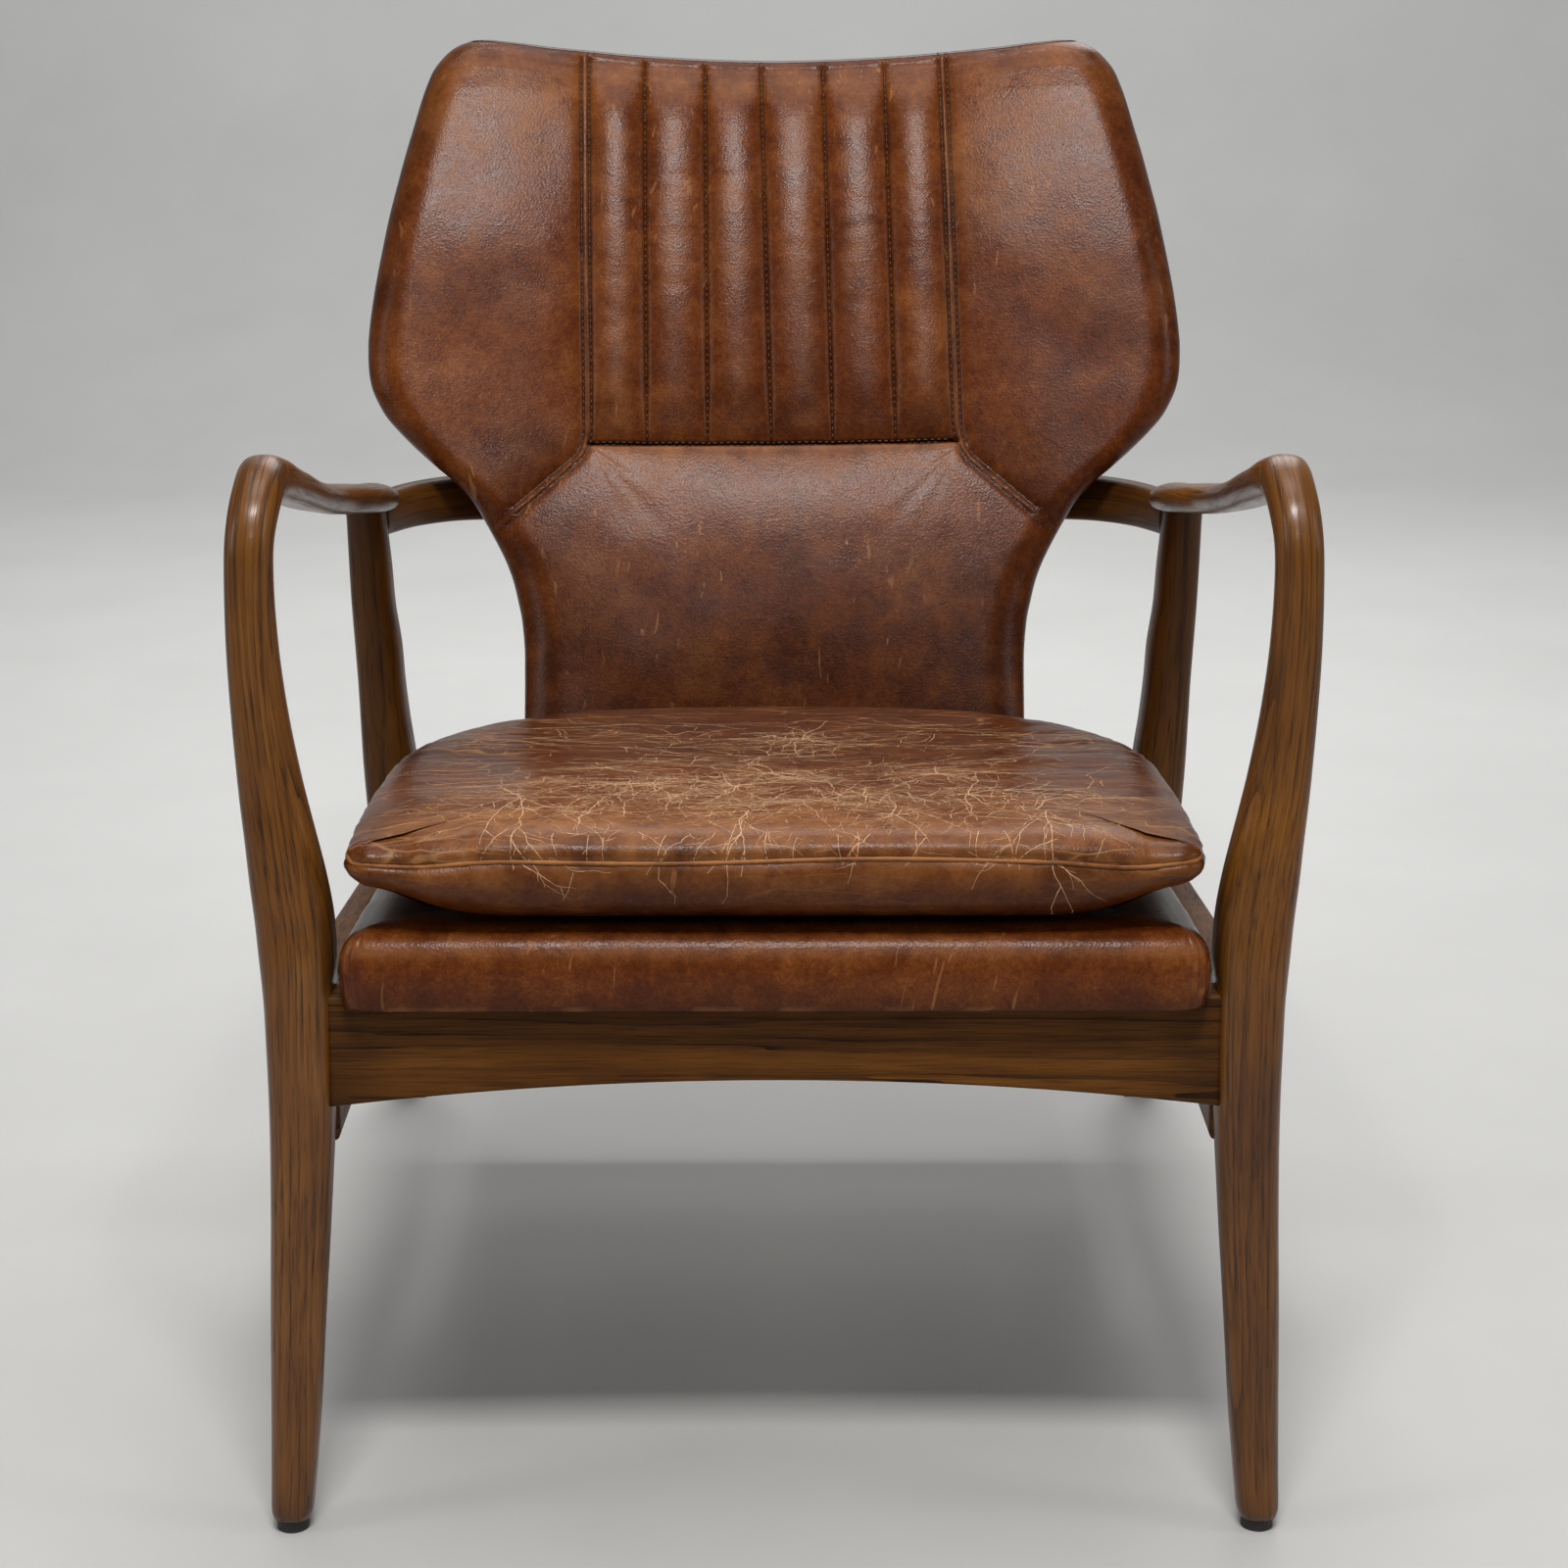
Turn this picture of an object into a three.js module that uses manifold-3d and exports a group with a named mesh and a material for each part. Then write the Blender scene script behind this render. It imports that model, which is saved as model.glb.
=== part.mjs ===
// Worn open-arm lounge chair: swept show-wood frame, leather platform, loose seat cushion, leather back.
// Units are millimetres, +Z is up, the chair faces -Y and is symmetric about the plane X = 0.
// The origin is on the floor at the middle of the chair's box. Left and right are the sitter's: left is +X.
import * as THREE from "three";
import { mergeVertices } from "three/addons/utils/BufferGeometryUtils.js";
import Module from "manifold-3d";

const wasm = await Module();
wasm.setup();

// ---------------------------------------------------------------- driving dimensions
const Y_MID = 346.9;          // depth from the front foot centres back to the middle of the box
const GAP = 0.35;             // clearance between touching solids
const GLIDE_H = 8;            // plastic foot glide height
const SEAT_SLOPE = 0.0943;    // fall of the platform per unit of depth
const RAIL_TOP = 332.3;       // front rail top
const RAIL_HALF = 253;        // half length of the front rail
const DECK_HALF = 242;        // half width of the platform
const DECK_FRONT = -22;       // front of the platform, from the front foot centres
const DECK_BACK = 565;
const DECK_TOP0 = 374;        // platform top height at the front foot centres
const CUSHION_BOTTOM0 = 376.5; // cushion underside at the front foot centres
const CUSHION_SEAM0 = 415;
const BACK_BOTTOM = 330.5;     // underside of the back
const BACK_RAKE = 0.39;       // backward lean of the back per unit of height
const BACK_Y0 = 500;          // front face of the back at the centre line, at height BACK_Z0
const BACK_Z0 = 371;
const BACK_CURVE = 30;        // how far forward the wings come at the widest place
const BACK_HALF_MAX = 290;
const BACK_T_MID = 64;        // thickness of the back measured front to rear, at the middle
const BACK_T_EDGE = 44;       // and at the edges
const LEATHER = 1.8;          // hide thickness
const BATTEN_T = 12;

// ---------------------------------------------------------------- materials
const material = (color, roughness, metalness = 0) => new THREE.MeshStandardMaterial({ color, roughness, metalness });
const WOOD = material(0x7a4a1f, 0.42);
const WOOD_DARK = material(0x4e2c12, 0.5);
const RAW_WOOD = material(0xb99a6b, 0.8);
const HIDE = material(0x6f3216, 0.38);
const HIDE_REAR = material(0x5e2a13, 0.42);
const FOAM = material(0xe2d3a8, 0.95);
const WEB = material(0x3a2c22, 0.9);
const CLOTH = material(0x1c1a19, 0.95);
const STEEL = material(0x9a9a98, 0.35, 1);
const GLIDE = material(0x1d1712, 0.6);
const BRASS = material(0x8a6a35, 0.4, 1);

// ---------------------------------------------------------------- solids
const group = new THREE.Group();

function solid(g) {
  g = g.clone();
  g.deleteAttribute("normal");
  g.deleteAttribute("uv");
  g = mergeVertices(g, 1e-4);
  return new wasm.Manifold(new wasm.Mesh({
    numProp: 3,
    vertProperties: new Float32Array(g.attributes.position.array),
    triVerts: new Uint32Array(g.index.array),
  }));
}

function geometry(s) {
  const m = s.getMesh(), n = m.numProp, v = new Float32Array(m.numVert * 3);
  for (let i = 0; i < m.numVert; i++) v.set(m.vertProperties.subarray(i * n, i * n + 3), i * 3);
  const g = new THREE.BufferGeometry();
  g.setAttribute("position", new THREE.BufferAttribute(v, 3));
  g.setIndex(new THREE.BufferAttribute(new Uint32Array(m.triVerts), 1));
  g.computeVertexNormals();
  return g;
}

function add(name, shape, mat) {
  const g = shape.isBufferGeometry ? shape : geometry(shape);
  const mesh = new THREE.Mesh(g, mat);
  mesh.name = name;
  group.add(mesh);
  return mesh;
}

// A closed skin over a stack of equal rings of points. Each end is a fan, or, when half is given, a ladder
// across a ring that runs front middle, right, rear middle, left, with half points from front to rear middle.
function loft(rings, half = 0) {
  const n = rings[0].length, pos = [], idx = [];
  for (const r of rings) for (const p of r) pos.push(...p);
  for (let i = 0; i < rings.length - 1; i++)
    for (let k = 0; k < n; k++) {
      const a = i * n + k, b = i * n + (k + 1) % n;
      idx.push(a, b, b + n, a, b + n, a + n);
    }
  const wrap = (k) => ((k % n) + n) % n;
  for (const [r, flip] of half ? [[0, true], [rings.length - 1, false]] : []) {
    const put = (a, b, c) => { if (a !== b && b !== c && c !== a) idx.push(...(flip ? [b, a, c] : [a, b, c]).map((k) => r * n + k)); };
    for (let i = 0; i < (half - 1) / 2; i++) {
      const j = half - 1 - i;
      put(i, i + 1, j); put(i + 1, j - 1, j);
      put(wrap(-i - 1), wrap(-i), wrap(-j)); put(wrap(-i - 1), wrap(-j), wrap(-j + 1));
    }
  }
  for (const [r, flip] of half ? [] : [[0, true], [rings.length - 1, false]]) {
    const c = [0, 0, 0];
    for (const p of rings[r]) for (let j = 0; j < 3; j++) c[j] += p[j] / n;
    pos.push(...c);
    const m = pos.length / 3 - 1;
    for (let k = 0; k < n; k++) {
      const a = r * n + k, b = r * n + (k + 1) % n;
      idx.push(...(flip ? [b, a, m] : [a, b, m]));
    }
  }
  let g = new THREE.BufferGeometry();
  g.setAttribute("position", new THREE.BufferAttribute(new Float32Array(pos), 3));
  g.setIndex(idx);
  let vol = 0;
  const P = (i) => new THREE.Vector3(pos[3 * i], pos[3 * i + 1], pos[3 * i + 2]);
  for (let i = 0; i < idx.length; i += 3) vol += P(idx[i]).dot(P(idx[i + 1]).cross(P(idx[i + 2])));
  if (vol < 0) { // turn the faces outward
    for (let i = 0; i < idx.length; i += 3) [idx[i + 1], idx[i + 2]] = [idx[i + 2], idx[i + 1]];
    g.setIndex(idx);
  }
  g.computeVertexNormals();
  return g;
}

// Linear reading of a table of [key, a, b, ...] rows.
function read(table, key) {
  const up = table[table.length - 1][0] > table[0][0];
  const rows = up ? table : [...table].reverse();
  if (key <= rows[0][0]) return rows[0].slice(1);
  for (let i = 1; i < rows.length; i++)
    if (key <= rows[i][0]) {
      const t = (key - rows[i - 1][0]) / (rows[i][0] - rows[i - 1][0]);
      return rows[i].slice(1).map((v, j) => rows[i - 1][j + 1] * (1 - t) + v * t);
    }
  return rows[rows.length - 1].slice(1);
}

// Rounded section: width w along ex, depth d along ey, power e (2 ellipse, large = square).
function section(c, ex, ey, w, d, e = 3.4, n = 12) {
  const out = [];
  for (let k = 0; k < n; k++) {
    const a = (2 * Math.PI * (k + 0.5)) / n, ca = Math.cos(a), sa = Math.sin(a);
    const u = (Math.sign(ca) * Math.abs(ca) ** (2 / e) * w) / 2;
    const v = (Math.sign(sa) * Math.abs(sa) ** (2 / e) * d) / 2;
    out.push([c[0] + ex[0] * u + ey[0] * v, c[1] + ex[1] * u + ey[1] * v, c[2] + ex[2] * u + ey[2] * v]);
  }
  return out;
}

const mirror = (g) => {
  const h = g.clone(), p = h.attributes.position.array;
  for (let i = 0; i < p.length; i += 3) p[i] = -p[i];
  const x = h.index.array;
  for (let i = 0; i < x.length; i += 3) { const t = x[i + 1]; x[i + 1] = x[i + 2]; x[i + 2] = t; }
  h.computeVertexNormals();
  return h;
};

const box = (x0, x1, y0, y1, z0, z1) => {
  const g = new THREE.BoxGeometry(x1 - x0, y1 - y0, z1 - z0);
  g.translate((x0 + x1) / 2, (y0 + y1) / 2 - Y_MID, (z0 + z1) / 2);
  return g;
};

// A box whose lower and upper faces follow the seat slope; z values are at depth 0.
function slopedBox(x0, x1, y0, y1, z0, z1, slope = SEAT_SLOPE) {
  const g = box(x0, x1, y0, y1, z0, z1), p = g.attributes.position;
  for (let i = 0; i < p.count; i++) p.setZ(i, p.getZ(i) - slope * (p.getY(i) + Y_MID));
  return g;
}

// Upright prism over a plan outline of [x, depth] points, its faces following the seat slope.
function slopedPrism(points, z0, z1, slope = SEAT_SLOPE, inset = 0) {
  const ring = (z, s) => points.map(([x, y]) => [x * s, y - Y_MID, z - slope * y]);
  return loft([ring(z0, 1 - inset), ring(z1, 1 - inset)]);
}

// Cylinder of radius r between two points [x, depth, z].
function rod(a, b, r, n = 12) {
  const A = new THREE.Vector3(a[0], a[1] - Y_MID, a[2]), B = new THREE.Vector3(b[0], b[1] - Y_MID, b[2]);
  const g = new THREE.CylinderGeometry(r, r, A.distanceTo(B), n);
  g.applyQuaternion(new THREE.Quaternion().setFromUnitVectors(new THREE.Vector3(0, 1, 0), B.clone().sub(A).normalize()));
  g.translate((A.x + B.x) / 2, (A.y + B.y) / 2, (A.z + B.z) / 2);
  return g;
}

// ---------------------------------------------------------------- front legs
// height: outer edge, inner edge (distance from the centre plane), centre depth, depth of section
const FRONT_LEG = [
  [8, 296.5, 272, 0, 26], [61, 294.3, 266.2, 2, 28], [136, 291.4, 260, 4, 32], [209.5, 288, 253.9, 6, 37],
  [257.5, 286.6, 250.5, 8, 41], [305, 286.4, 249, 9, 44], [328, 286.9, 248, 10, 44], [351, 288.3, 246.3, 10, 43],
  [374, 290, 247.2, 11, 41], [397, 292.1, 250.3, 11, 38], [420, 293.7, 254.8, 11, 35], [442, 295.6, 259.5, 12, 32.5],
  [465, 296.9, 263.6, 12, 30.5], [487, 297.9, 266.9, 12, 29], [531, 298.9, 271.1, 12, 28], [574, 297.8, 271.7, 12, 28],
];
const KNEE_R = 40, KNEE_Y = 52, KNEE_Z = 574;
// sweep angle: outer edge, inner edge, thickness
const KNEE = [[20, 297, 271, 28], [40, 296, 269.6, 27.5], [60, 295, 268.6, 27], [80, 295, 268.4, 26.4], [100, 295.5, 268.8, 25.6]];

function frontLeg(grow = 0) {
  const rings = FRONT_LEG.map(([z, xo, xi, y, d], i) =>
    section([(xo + xi) / 2, y - Y_MID, z - (i === 0 ? grow : 0)], [1, 0, 0], [0, 1, 0], xo - xi + 2 * grow, d + 2 * grow, i < 3 ? 2.6 : 3.2));
  for (const [a, xo, xi, t] of KNEE) {
    const p = (a * Math.PI) / 180, s = Math.sin(p), c = Math.cos(p);
    rings.push(section([(xo + xi) / 2, KNEE_Y - KNEE_R * c - Y_MID, KNEE_Z + KNEE_R * s],
      [1, 0, 0], [0, c, -s], xo - xi + 2 * grow, t + 2 * grow, 3));
  }
  return loft(rings);
}

// ---------------------------------------------------------------- arms
// depth: top height, inner edge, outer edge, thickness, roll of the section (degrees, inner edge down)
const ARM = [
  [59.6, 626, 268.8, 295.5, 25.6, 0], [80, 621.2, 268.5, 296.5, 24, 0], [120, 610.5, 269.5, 299, 22, 2], [165, 599.5, 270.5, 301, 20.5, 4],
  [205, 589.5, 272, 302.5, 20, 5], [250, 579.5, 274.5, 304, 19.5, 7], [300, 569.5, 278, 305, 19.5, 9], [340, 561.5, 279.5, 305.5, 19.5, 10],
  [375, 555, 277, 305.5, 19.5, 9], [410, 549, 270, 305.5, 19.5, 7], [440, 543.8, 264, 305.5, 19.5, 5], [470, 538.8, 261.5, 305, 19.5, 3],
  [495, 534.8, 264.5, 304.5, 19.5, 1], [515, 531.8, 270, 303.5, 19, 0], [529, 529.8, 276, 302, 18, 0],
];
function arm(grow = 0) {
  const rings = ARM.map(([y, zt, xi, xo, t, roll], i) => {
    const slope = i === 0 ? -Math.tan((10 * Math.PI) / 180) : i === ARM.length - 1 ? -0.14 : (ARM[i + 1][1] - ARM[i - 1][1]) / (ARM[i + 1][0] - ARM[i - 1][0]);
    const b = Math.atan(slope), r = (roll * Math.PI) / 180;
    const n = [0, -Math.sin(b), Math.cos(b)];                       // normal to the run of the arm
    const ex = [Math.cos(r), n[1] * Math.sin(r), n[2] * Math.sin(r)];
    const ey = [-Math.sin(r), n[1] * Math.cos(r), n[2] * Math.cos(r)];
    const end = i === 0 ? -grow : i === ARM.length - 1 ? grow : 0;
    const c = [(xi + xo) / 2, y - Y_MID + end, zt - (t / 2) * n[2]];
    return section(c, ex, ey, xo - xi + 2 * grow, t + 2 * grow, 2.9);
  });
  return loft(rings);
}

// ---------------------------------------------------------------- rear legs
// height: outer edge, inner edge, centre depth, depth of section (front to rear)
const REAR_LEG = [
  [8, 310, 284.5, 697, 29], [70, 309.5, 281.5, 673, 32], [140, 309, 277, 646, 35], [210, 308.8, 271.5, 618, 39],
  [260, 308.6, 269, 598, 41], [316, 308, 269, 576.5, 39], [348, 307, 271, 564.5, 36], [379, 306, 272, 552.5, 34],
  [410, 305.5, 272, 540.5, 32], [441, 305, 274, 528.5, 31], [471, 304, 274, 517, 30], [508, 302.5, 275, 503, 30],
];
function rearLeg(grow = 0) {
  return loft(REAR_LEG.map(([z, xo, xi, y, d], i) =>
    section([(xo + xi) / 2, y - Y_MID, z + (i === 0 ? -grow : i === REAR_LEG.length - 1 ? grow : 0)],
      [1, 0, 0], [0, 1, 0], xo - xi + 2 * grow, d + 2 * grow, i < 2 ? 2.6 : 3)));
}

// ---------------------------------------------------------------- bow rail behind the back
const BOW = [[289, 516, 506, 30], [279, 543, 506.5, 31], [264, 569, 507, 32], [240, 592, 507, 33], [195, 610, 506, 34], [140, 622, 505, 34], [70, 629.5, 504, 34], [0, 631.5, 504, 34]];
const BOW_T = 21;
function bowRail(grow = 0) {
  const pts = [...BOW.map((p) => [-p[0], ...p.slice(1)]), ...[...BOW].reverse().slice(1)];
  const rings = pts.map(([x, y, z, h], i) => {
    const a = pts[Math.max(0, i - 1)], b = pts[Math.min(pts.length - 1, i + 1)];
    const L = Math.hypot(b[0] - a[0], b[1] - a[1]), t = [(b[0] - a[0]) / L, (b[1] - a[1]) / L];
    return section([x, y - Y_MID, z], [-t[1], t[0], 0], [0, 0, 1], BOW_T + 2 * grow, h + 2 * grow, 3.2, 12);
  });
  return loft(rings);
}

const BOW_Z = 504.3, BOLT_X = 92, BOLT_HEAD_Y = 639.4;
const bowCut = solid(bowRail(GAP));
const legL = frontLeg(), legR = mirror(legL), rlegL = rearLeg(), rlegR = mirror(rlegL), armL = arm(), armR = mirror(armL);
const legCut = solid(frontLeg(GAP)).add(solid(mirror(frontLeg(GAP))));
const rlegCut = solid(rearLeg(GAP)).add(solid(mirror(rearLeg(GAP))));
const armCut = solid(arm(GAP)).add(solid(mirror(arm(GAP))));

// dowels: knee (leg end into arm), rear leg top into arm, rear leg into bow rail
const dir = [0, Math.cos((10 * Math.PI) / 180), -Math.sin((10 * Math.PI) / 180)];
const kneeC = [282.15, 59.25, KNEE_Z + KNEE_R * Math.sin((100 * Math.PI) / 180)];
const along = (c, d, s) => [c[0] + d[0] * s, c[1] + d[1] * s, c[2] + d[2] * s];
const DOWELS = [
  ["knee_dowel", along(kneeC, dir, -14), along(kneeC, dir, 17), 4],
  ["rear_leg_dowel", [288, 503, 486], [288, 503, 524], 4],
  ["bow_dowel", [286.2, 507, 500], [282.6, 538, 500], 3],
];
const flipX = (p) => [-p[0], p[1], p[2]];
let holes = null;
for (const [name, a, b, r] of DOWELS)
  for (const side of ["left", "right"]) {
    const A = side === "left" ? a : flipX(a), B = side === "left" ? b : flipX(b);
    add(`${name}_${side}`, rod(A, B, r, 10), RAW_WOOD);
    const d = [B[0] - A[0], B[1] - A[1], B[2] - A[2]], L = Math.hypot(...d);
    const e = 0.8 / L;
    const h = solid(rod([A[0] - d[0] * e, A[1] - d[1] * e, A[2] - d[2] * e], [B[0] + d[0] * e, B[1] + d[1] * e, B[2] + d[2] * e], r + 0.45, 10));
    holes = holes ? holes.add(h) : h;
  }

// back fixing bolts run through the bow rail into the back shell
const BOLT_DIR = [0, -1, 0];
let boltHoles = null;
for (const s of [1, -1]) {
  const h = solid(rod([s * BOLT_X, 665, BOW_Z], [s * BOLT_X, 592, BOW_Z], 4.4, 10));
  boltHoles = boltHoles ? boltHoles.add(h) : h;
}

add("front_leg_left", solid(legL).subtract(holes), WOOD);
add("front_leg_right", solid(legR).subtract(holes), WOOD);
add("rear_leg_left", solid(rlegL).subtract(holes), WOOD);
add("rear_leg_right", solid(rlegR).subtract(holes), WOOD);
const rearTop = solid(rearLeg(GAP)).add(solid(mirror(rearLeg(GAP))));
add("arm_left", solid(armL).subtract(holes).subtract(rearTop).subtract(legCut), WOOD);
add("arm_right", solid(armR).subtract(holes).subtract(rearTop).subtract(legCut), WOOD);
add("back_bow_rail", solid(bowRail()).subtract(rlegCut).subtract(armCut).subtract(holes).subtract(boltHoles), WOOD_DARK);

// ---------------------------------------------------------------- seat rails
const railTopAt = (y) => RAIL_TOP + 2.2 - SEAT_SLOPE * y;
{
  // front rail: straight top, lower edge arched 16 mm
  const shape = new THREE.Shape();
  shape.moveTo(-RAIL_HALF, 265);
  for (let i = 1; i <= 16; i++) {
    const t = -1 + i / 8;
    shape.lineTo(t * RAIL_HALF, 281 - 16 * Math.abs(t) ** 2);
  }
  shape.lineTo(RAIL_HALF, RAIL_TOP);
  shape.lineTo(-RAIL_HALF, RAIL_TOP);
  const g = new THREE.ExtrudeGeometry(shape, { depth: 24, bevelEnabled: false });
  g.rotateX(Math.PI / 2);
  g.translate(0, 19 - Y_MID, 0);
  add("front_rail", solid(g).subtract(legCut), WOOD);
}
for (const [side, s] of [["left", 1], ["right", -1]]) {
  const x0 = s > 0 ? 250 : -272, x1 = s > 0 ? 272 : -250;
  const pts = [[19.4, 236], [300, 240], [570.6, 224], [570.6, railTopAt(570.6) - 0.5], [19.4, railTopAt(19.4) - 0.5]];
  const shape = new THREE.Shape(pts.map(([y, z]) => new THREE.Vector2(y - Y_MID, z)));
  const g = new THREE.ExtrudeGeometry(shape, { depth: x1 - x0, bevelEnabled: false });
  // shape X -> world Y, shape Y -> world Z, extrusion -> world X
  g.applyMatrix4(new THREE.Matrix4().makeBasis(new THREE.Vector3(0, 1, 0), new THREE.Vector3(0, 0, 1), new THREE.Vector3(1, 0, 0)));
  g.translate(x0, 0, 0);
  add(`side_rail_${side}`, solid(g).subtract(legCut).subtract(rlegCut), WOOD);
}
const REAR_RAIL_Y = [571, 595];

// corner blocks with one screw each
let screwHoles = null;
const BLOCKS = [];
for (const [side, s] of [["left", 1], ["right", -1]]) {
  BLOCKS.push([`corner_block_front_${side}`, [[245.5, 19.4], [245.5, 32], [249.6, 32], [249.6, 68], [240, 68], [200, 28], [200, 19.4]], 262, 312, s,
    [222, 50, 287], [-0.7071, 0.7071, 0]]);
  BLOCKS.push([`corner_block_rear_${side}`, [[249.6, 570.6], [249.6, 522], [240, 522], [200, 562], [200, 570.6]], 222, 268, s,
    [222, 541, 245], [-0.7071, -0.7071, 0]]);
}
for (const [name, pts, z0, z1, s, c, d] of BLOCKS) {
  const P = pts.map(([x, y]) => [x * s, y]);
  const g = slopedPrism(P, z0, z1, 0);
  // screw: from the inner face of the block towards the corner
  const A = [c[0] * s, c[1], c[2]], D = [d[0] * s, d[1], d[2]];
  const head = along(A, D, 1.6), neck = along(A, D, -1.2), tip = along(A, D, -20);
  const bore = solid(rod(along(A, D, 30), along(A, D, -1.5), 5.2, 12)).add(solid(rod(neck, along(A, D, -20.6), 2.6, 8)));
  add(name, solid(g).subtract(bore).subtract(legCut).subtract(rlegCut), RAW_WOOD);
  const screw = solid(rod(along(A, D, 1.9), along(A, D, -1.1), 4.6, 12)).add(solid(rod(along(A, D, 0.5), tip, 2.1, 8)));
  add(name.replace("corner_block", "block_screw"), screw, STEEL);
}

// ---------------------------------------------------------------- foot glides
for (const [side, s] of [["left", 1], ["right", -1]]) {
  add(`front_glide_${side}`, rod([s * 284.2, 0, 0], [s * 284.2, 0, GLIDE_H - GAP], 9.5, 20), GLIDE);
  add(`rear_glide_${side}`, rod([s * 297.2, 698, 0], [s * 297.2, 698, GLIDE_H - GAP], 9.5, 20), GLIDE);
}

// ---------------------------------------------------------------- seat platform
// drop-in frame of four battens on the rails, straps across it, foam, hide and dust cloth
const Z_DECK_BOTTOM = RAIL_TOP + 2.8;
const FR0 = Z_DECK_BOTTOM, FR1 = FR0 + BATTEN_T;
add("deck_batten_front", slopedBox(-236, 236, -4, 40, FR0, FR1), RAW_WOOD);
add("deck_batten_rear", slopedBox(-236, 236, 506, 556, FR0, FR1), RAW_WOOD);
add("deck_batten_left", slopedBox(190, 236, 40.4, 505.6, FR0, FR1), RAW_WOOD);
add("deck_batten_right", slopedBox(-236, -190, 40.4, 505.6, FR0, FR1), RAW_WOOD);
for (let i = 0; i < 5; i++) {
  const y = 78 + i * 86;
  add(`webbing_strap_${i + 1}`, slopedBox(-230, 230, y, y + 50, FR1 + 0.4, FR1 + 2), WEB);
}
// plan outline of the platform with rounded corners
function deckOutline(g) {
  const pts = [], hx = DECK_HALF - g, y0 = DECK_FRONT + g, y1 = DECK_BACK - g, r = Math.max(3, 17 - g), q = Math.max(2, 8 - g);
  for (let k = 0; k <= 4; k++) { const a = (k / 4) * Math.PI / 2; pts.push([hx - q + q * Math.cos(a), y1 - q + q * Math.sin(a)]); }
  for (let k = 0; k <= 4; k++) { const a = Math.PI / 2 + (k / 4) * Math.PI / 2; pts.push([-hx + q + q * Math.cos(a), y1 - q + q * Math.sin(a)]); }
  for (let k = 0; k <= 4; k++) { const a = Math.PI + (k / 4) * Math.PI / 2; pts.push([-hx + r + r * Math.cos(a), y0 + r + r * Math.sin(a)]); }
  for (let k = 0; k <= 4; k++) { const a = 1.5 * Math.PI + (k / 4) * Math.PI / 2; pts.push([hx - r + r * Math.cos(a), y0 + r + r * Math.sin(a)]); }
  return pts;
}
// height levels: [inset, z at depth 0]; the front lip hangs lower than the frame
function deckStack(levels) {
  return loft(levels.map(([g, z]) => deckOutline(g).map(([x, y]) => [x, y - Y_MID, z - SEAT_SLOPE * y])));
}
const deckOuter = deckStack([[3, FR0 - 8.6], [0.5, FR0 - 5], [0, FR0 + 4], [0.4, DECK_TOP0 - 12], [2.2, DECK_TOP0 - 6], [6, DECK_TOP0 - 2], [13, DECK_TOP0 + 0.2]]);
const deckInner = deckStack([[2, FR0 - 20], [2, FR0 + 4], [2.4, DECK_TOP0 - 13.5], [4.4, DECK_TOP0 - 7.6], [8.5, DECK_TOP0 - 3.6], [14, DECK_TOP0 - LEATHER]]);
// the hide stops at the rail tops along the sides and rear and hangs over the rail at the front
const railRoom = solid(slopedBox(-300, 300, -5.6, 700, 150, FR0 - 0.1)).add(solid(box(-300, 300, -5.6, 30, 150, RAIL_TOP + GAP)));
add("deck_cover", solid(deckOuter).subtract(solid(deckInner)).subtract(railRoom).subtract(legCut).subtract(rlegCut), HIDE);
const foamOuter = deckStack([[3, FR1 + 2.6], [3, DECK_TOP0 - 13.8], [5.2, DECK_TOP0 - 8], [9.2, DECK_TOP0 - 4.2], [15, DECK_TOP0 - LEATHER - 0.6]]);
add("deck_foam", foamOuter, FOAM);
add("dust_cloth", slopedBox(-186, 186, 44, 502, FR0 + 2, FR0 + 3.2), CLOTH);

// ---------------------------------------------------------------- loose seat cushion
// plan half width by depth; the rear corners are well rounded
const CUSHION_PLAN = [[-30, 226], [-26, 235], [10, 239], [110, 242], [210, 243], [262, 239.5], [315, 227], [362, 205], [402, 173], [430, 130], [445, 72], [450, 0]];
function cushionOutline(g) {
  const right = CUSHION_PLAN.map(([y, x]) => [x, y]);
  const pts = [...right, ...right.slice(0, -1).reverse().map(([x, y]) => [-x, y])];
  // inset towards the middle
  return pts.map(([x, y]) => {
    const cx = Math.sign(x) * Math.max(0, Math.abs(x) - g), yy = y < 100 ? Math.max(y + g, -30 + g) : y > 300 ? y - g * Math.min(1, (y - 250) / 150) : y;
    return [cx, yy];
  });
}
function cushionStack(levels) {
  return loft(levels.map(([g, z]) => cushionOutline(g).map(([x, y]) => {
    const fall = y > 300 ? (y - 300) * 0.0 : 0;
    return [x, y - Y_MID, z - SEAT_SLOPE * y - fall];
  })));
}
const cushionOuter = cushionStack([[44, CUSHION_BOTTOM0], [15, CUSHION_BOTTOM0 + 6], [3, CUSHION_BOTTOM0 + 20], [0, CUSHION_SEAM0], [12, 424], [40, 429.5], [95, 432]]);
const cushionInner = cushionStack([[44.6, CUSHION_BOTTOM0 + 2], [17.4, CUSHION_BOTTOM0 + 8], [5.4, CUSHION_BOTTOM0 + 20.4], [2.6, CUSHION_SEAM0 - 0.4], [14.4, 421.7], [41, 427.2], [95.5, 429.8]]);
const coreOuter = cushionStack([[46, CUSHION_BOTTOM0 + 2.8], [18.8, CUSHION_BOTTOM0 + 9], [6.6, CUSHION_BOTTOM0 + 20.8], [3.8, CUSHION_SEAM0 - 0.8], [15.8, 420.9], [42.6, 426.4], [96, 429]]);
const zipZ = CUSHION_SEAM0 - 12 - SEAT_SLOPE * 446;
const zipSlot = solid(box(-110, 110, 420, 470, zipZ - 3, zipZ + 3));
add("cushion_cover", solid(cushionOuter).subtract(solid(cushionInner)).subtract(zipSlot), HIDE);
add("cushion_core", coreOuter, FOAM);
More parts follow.
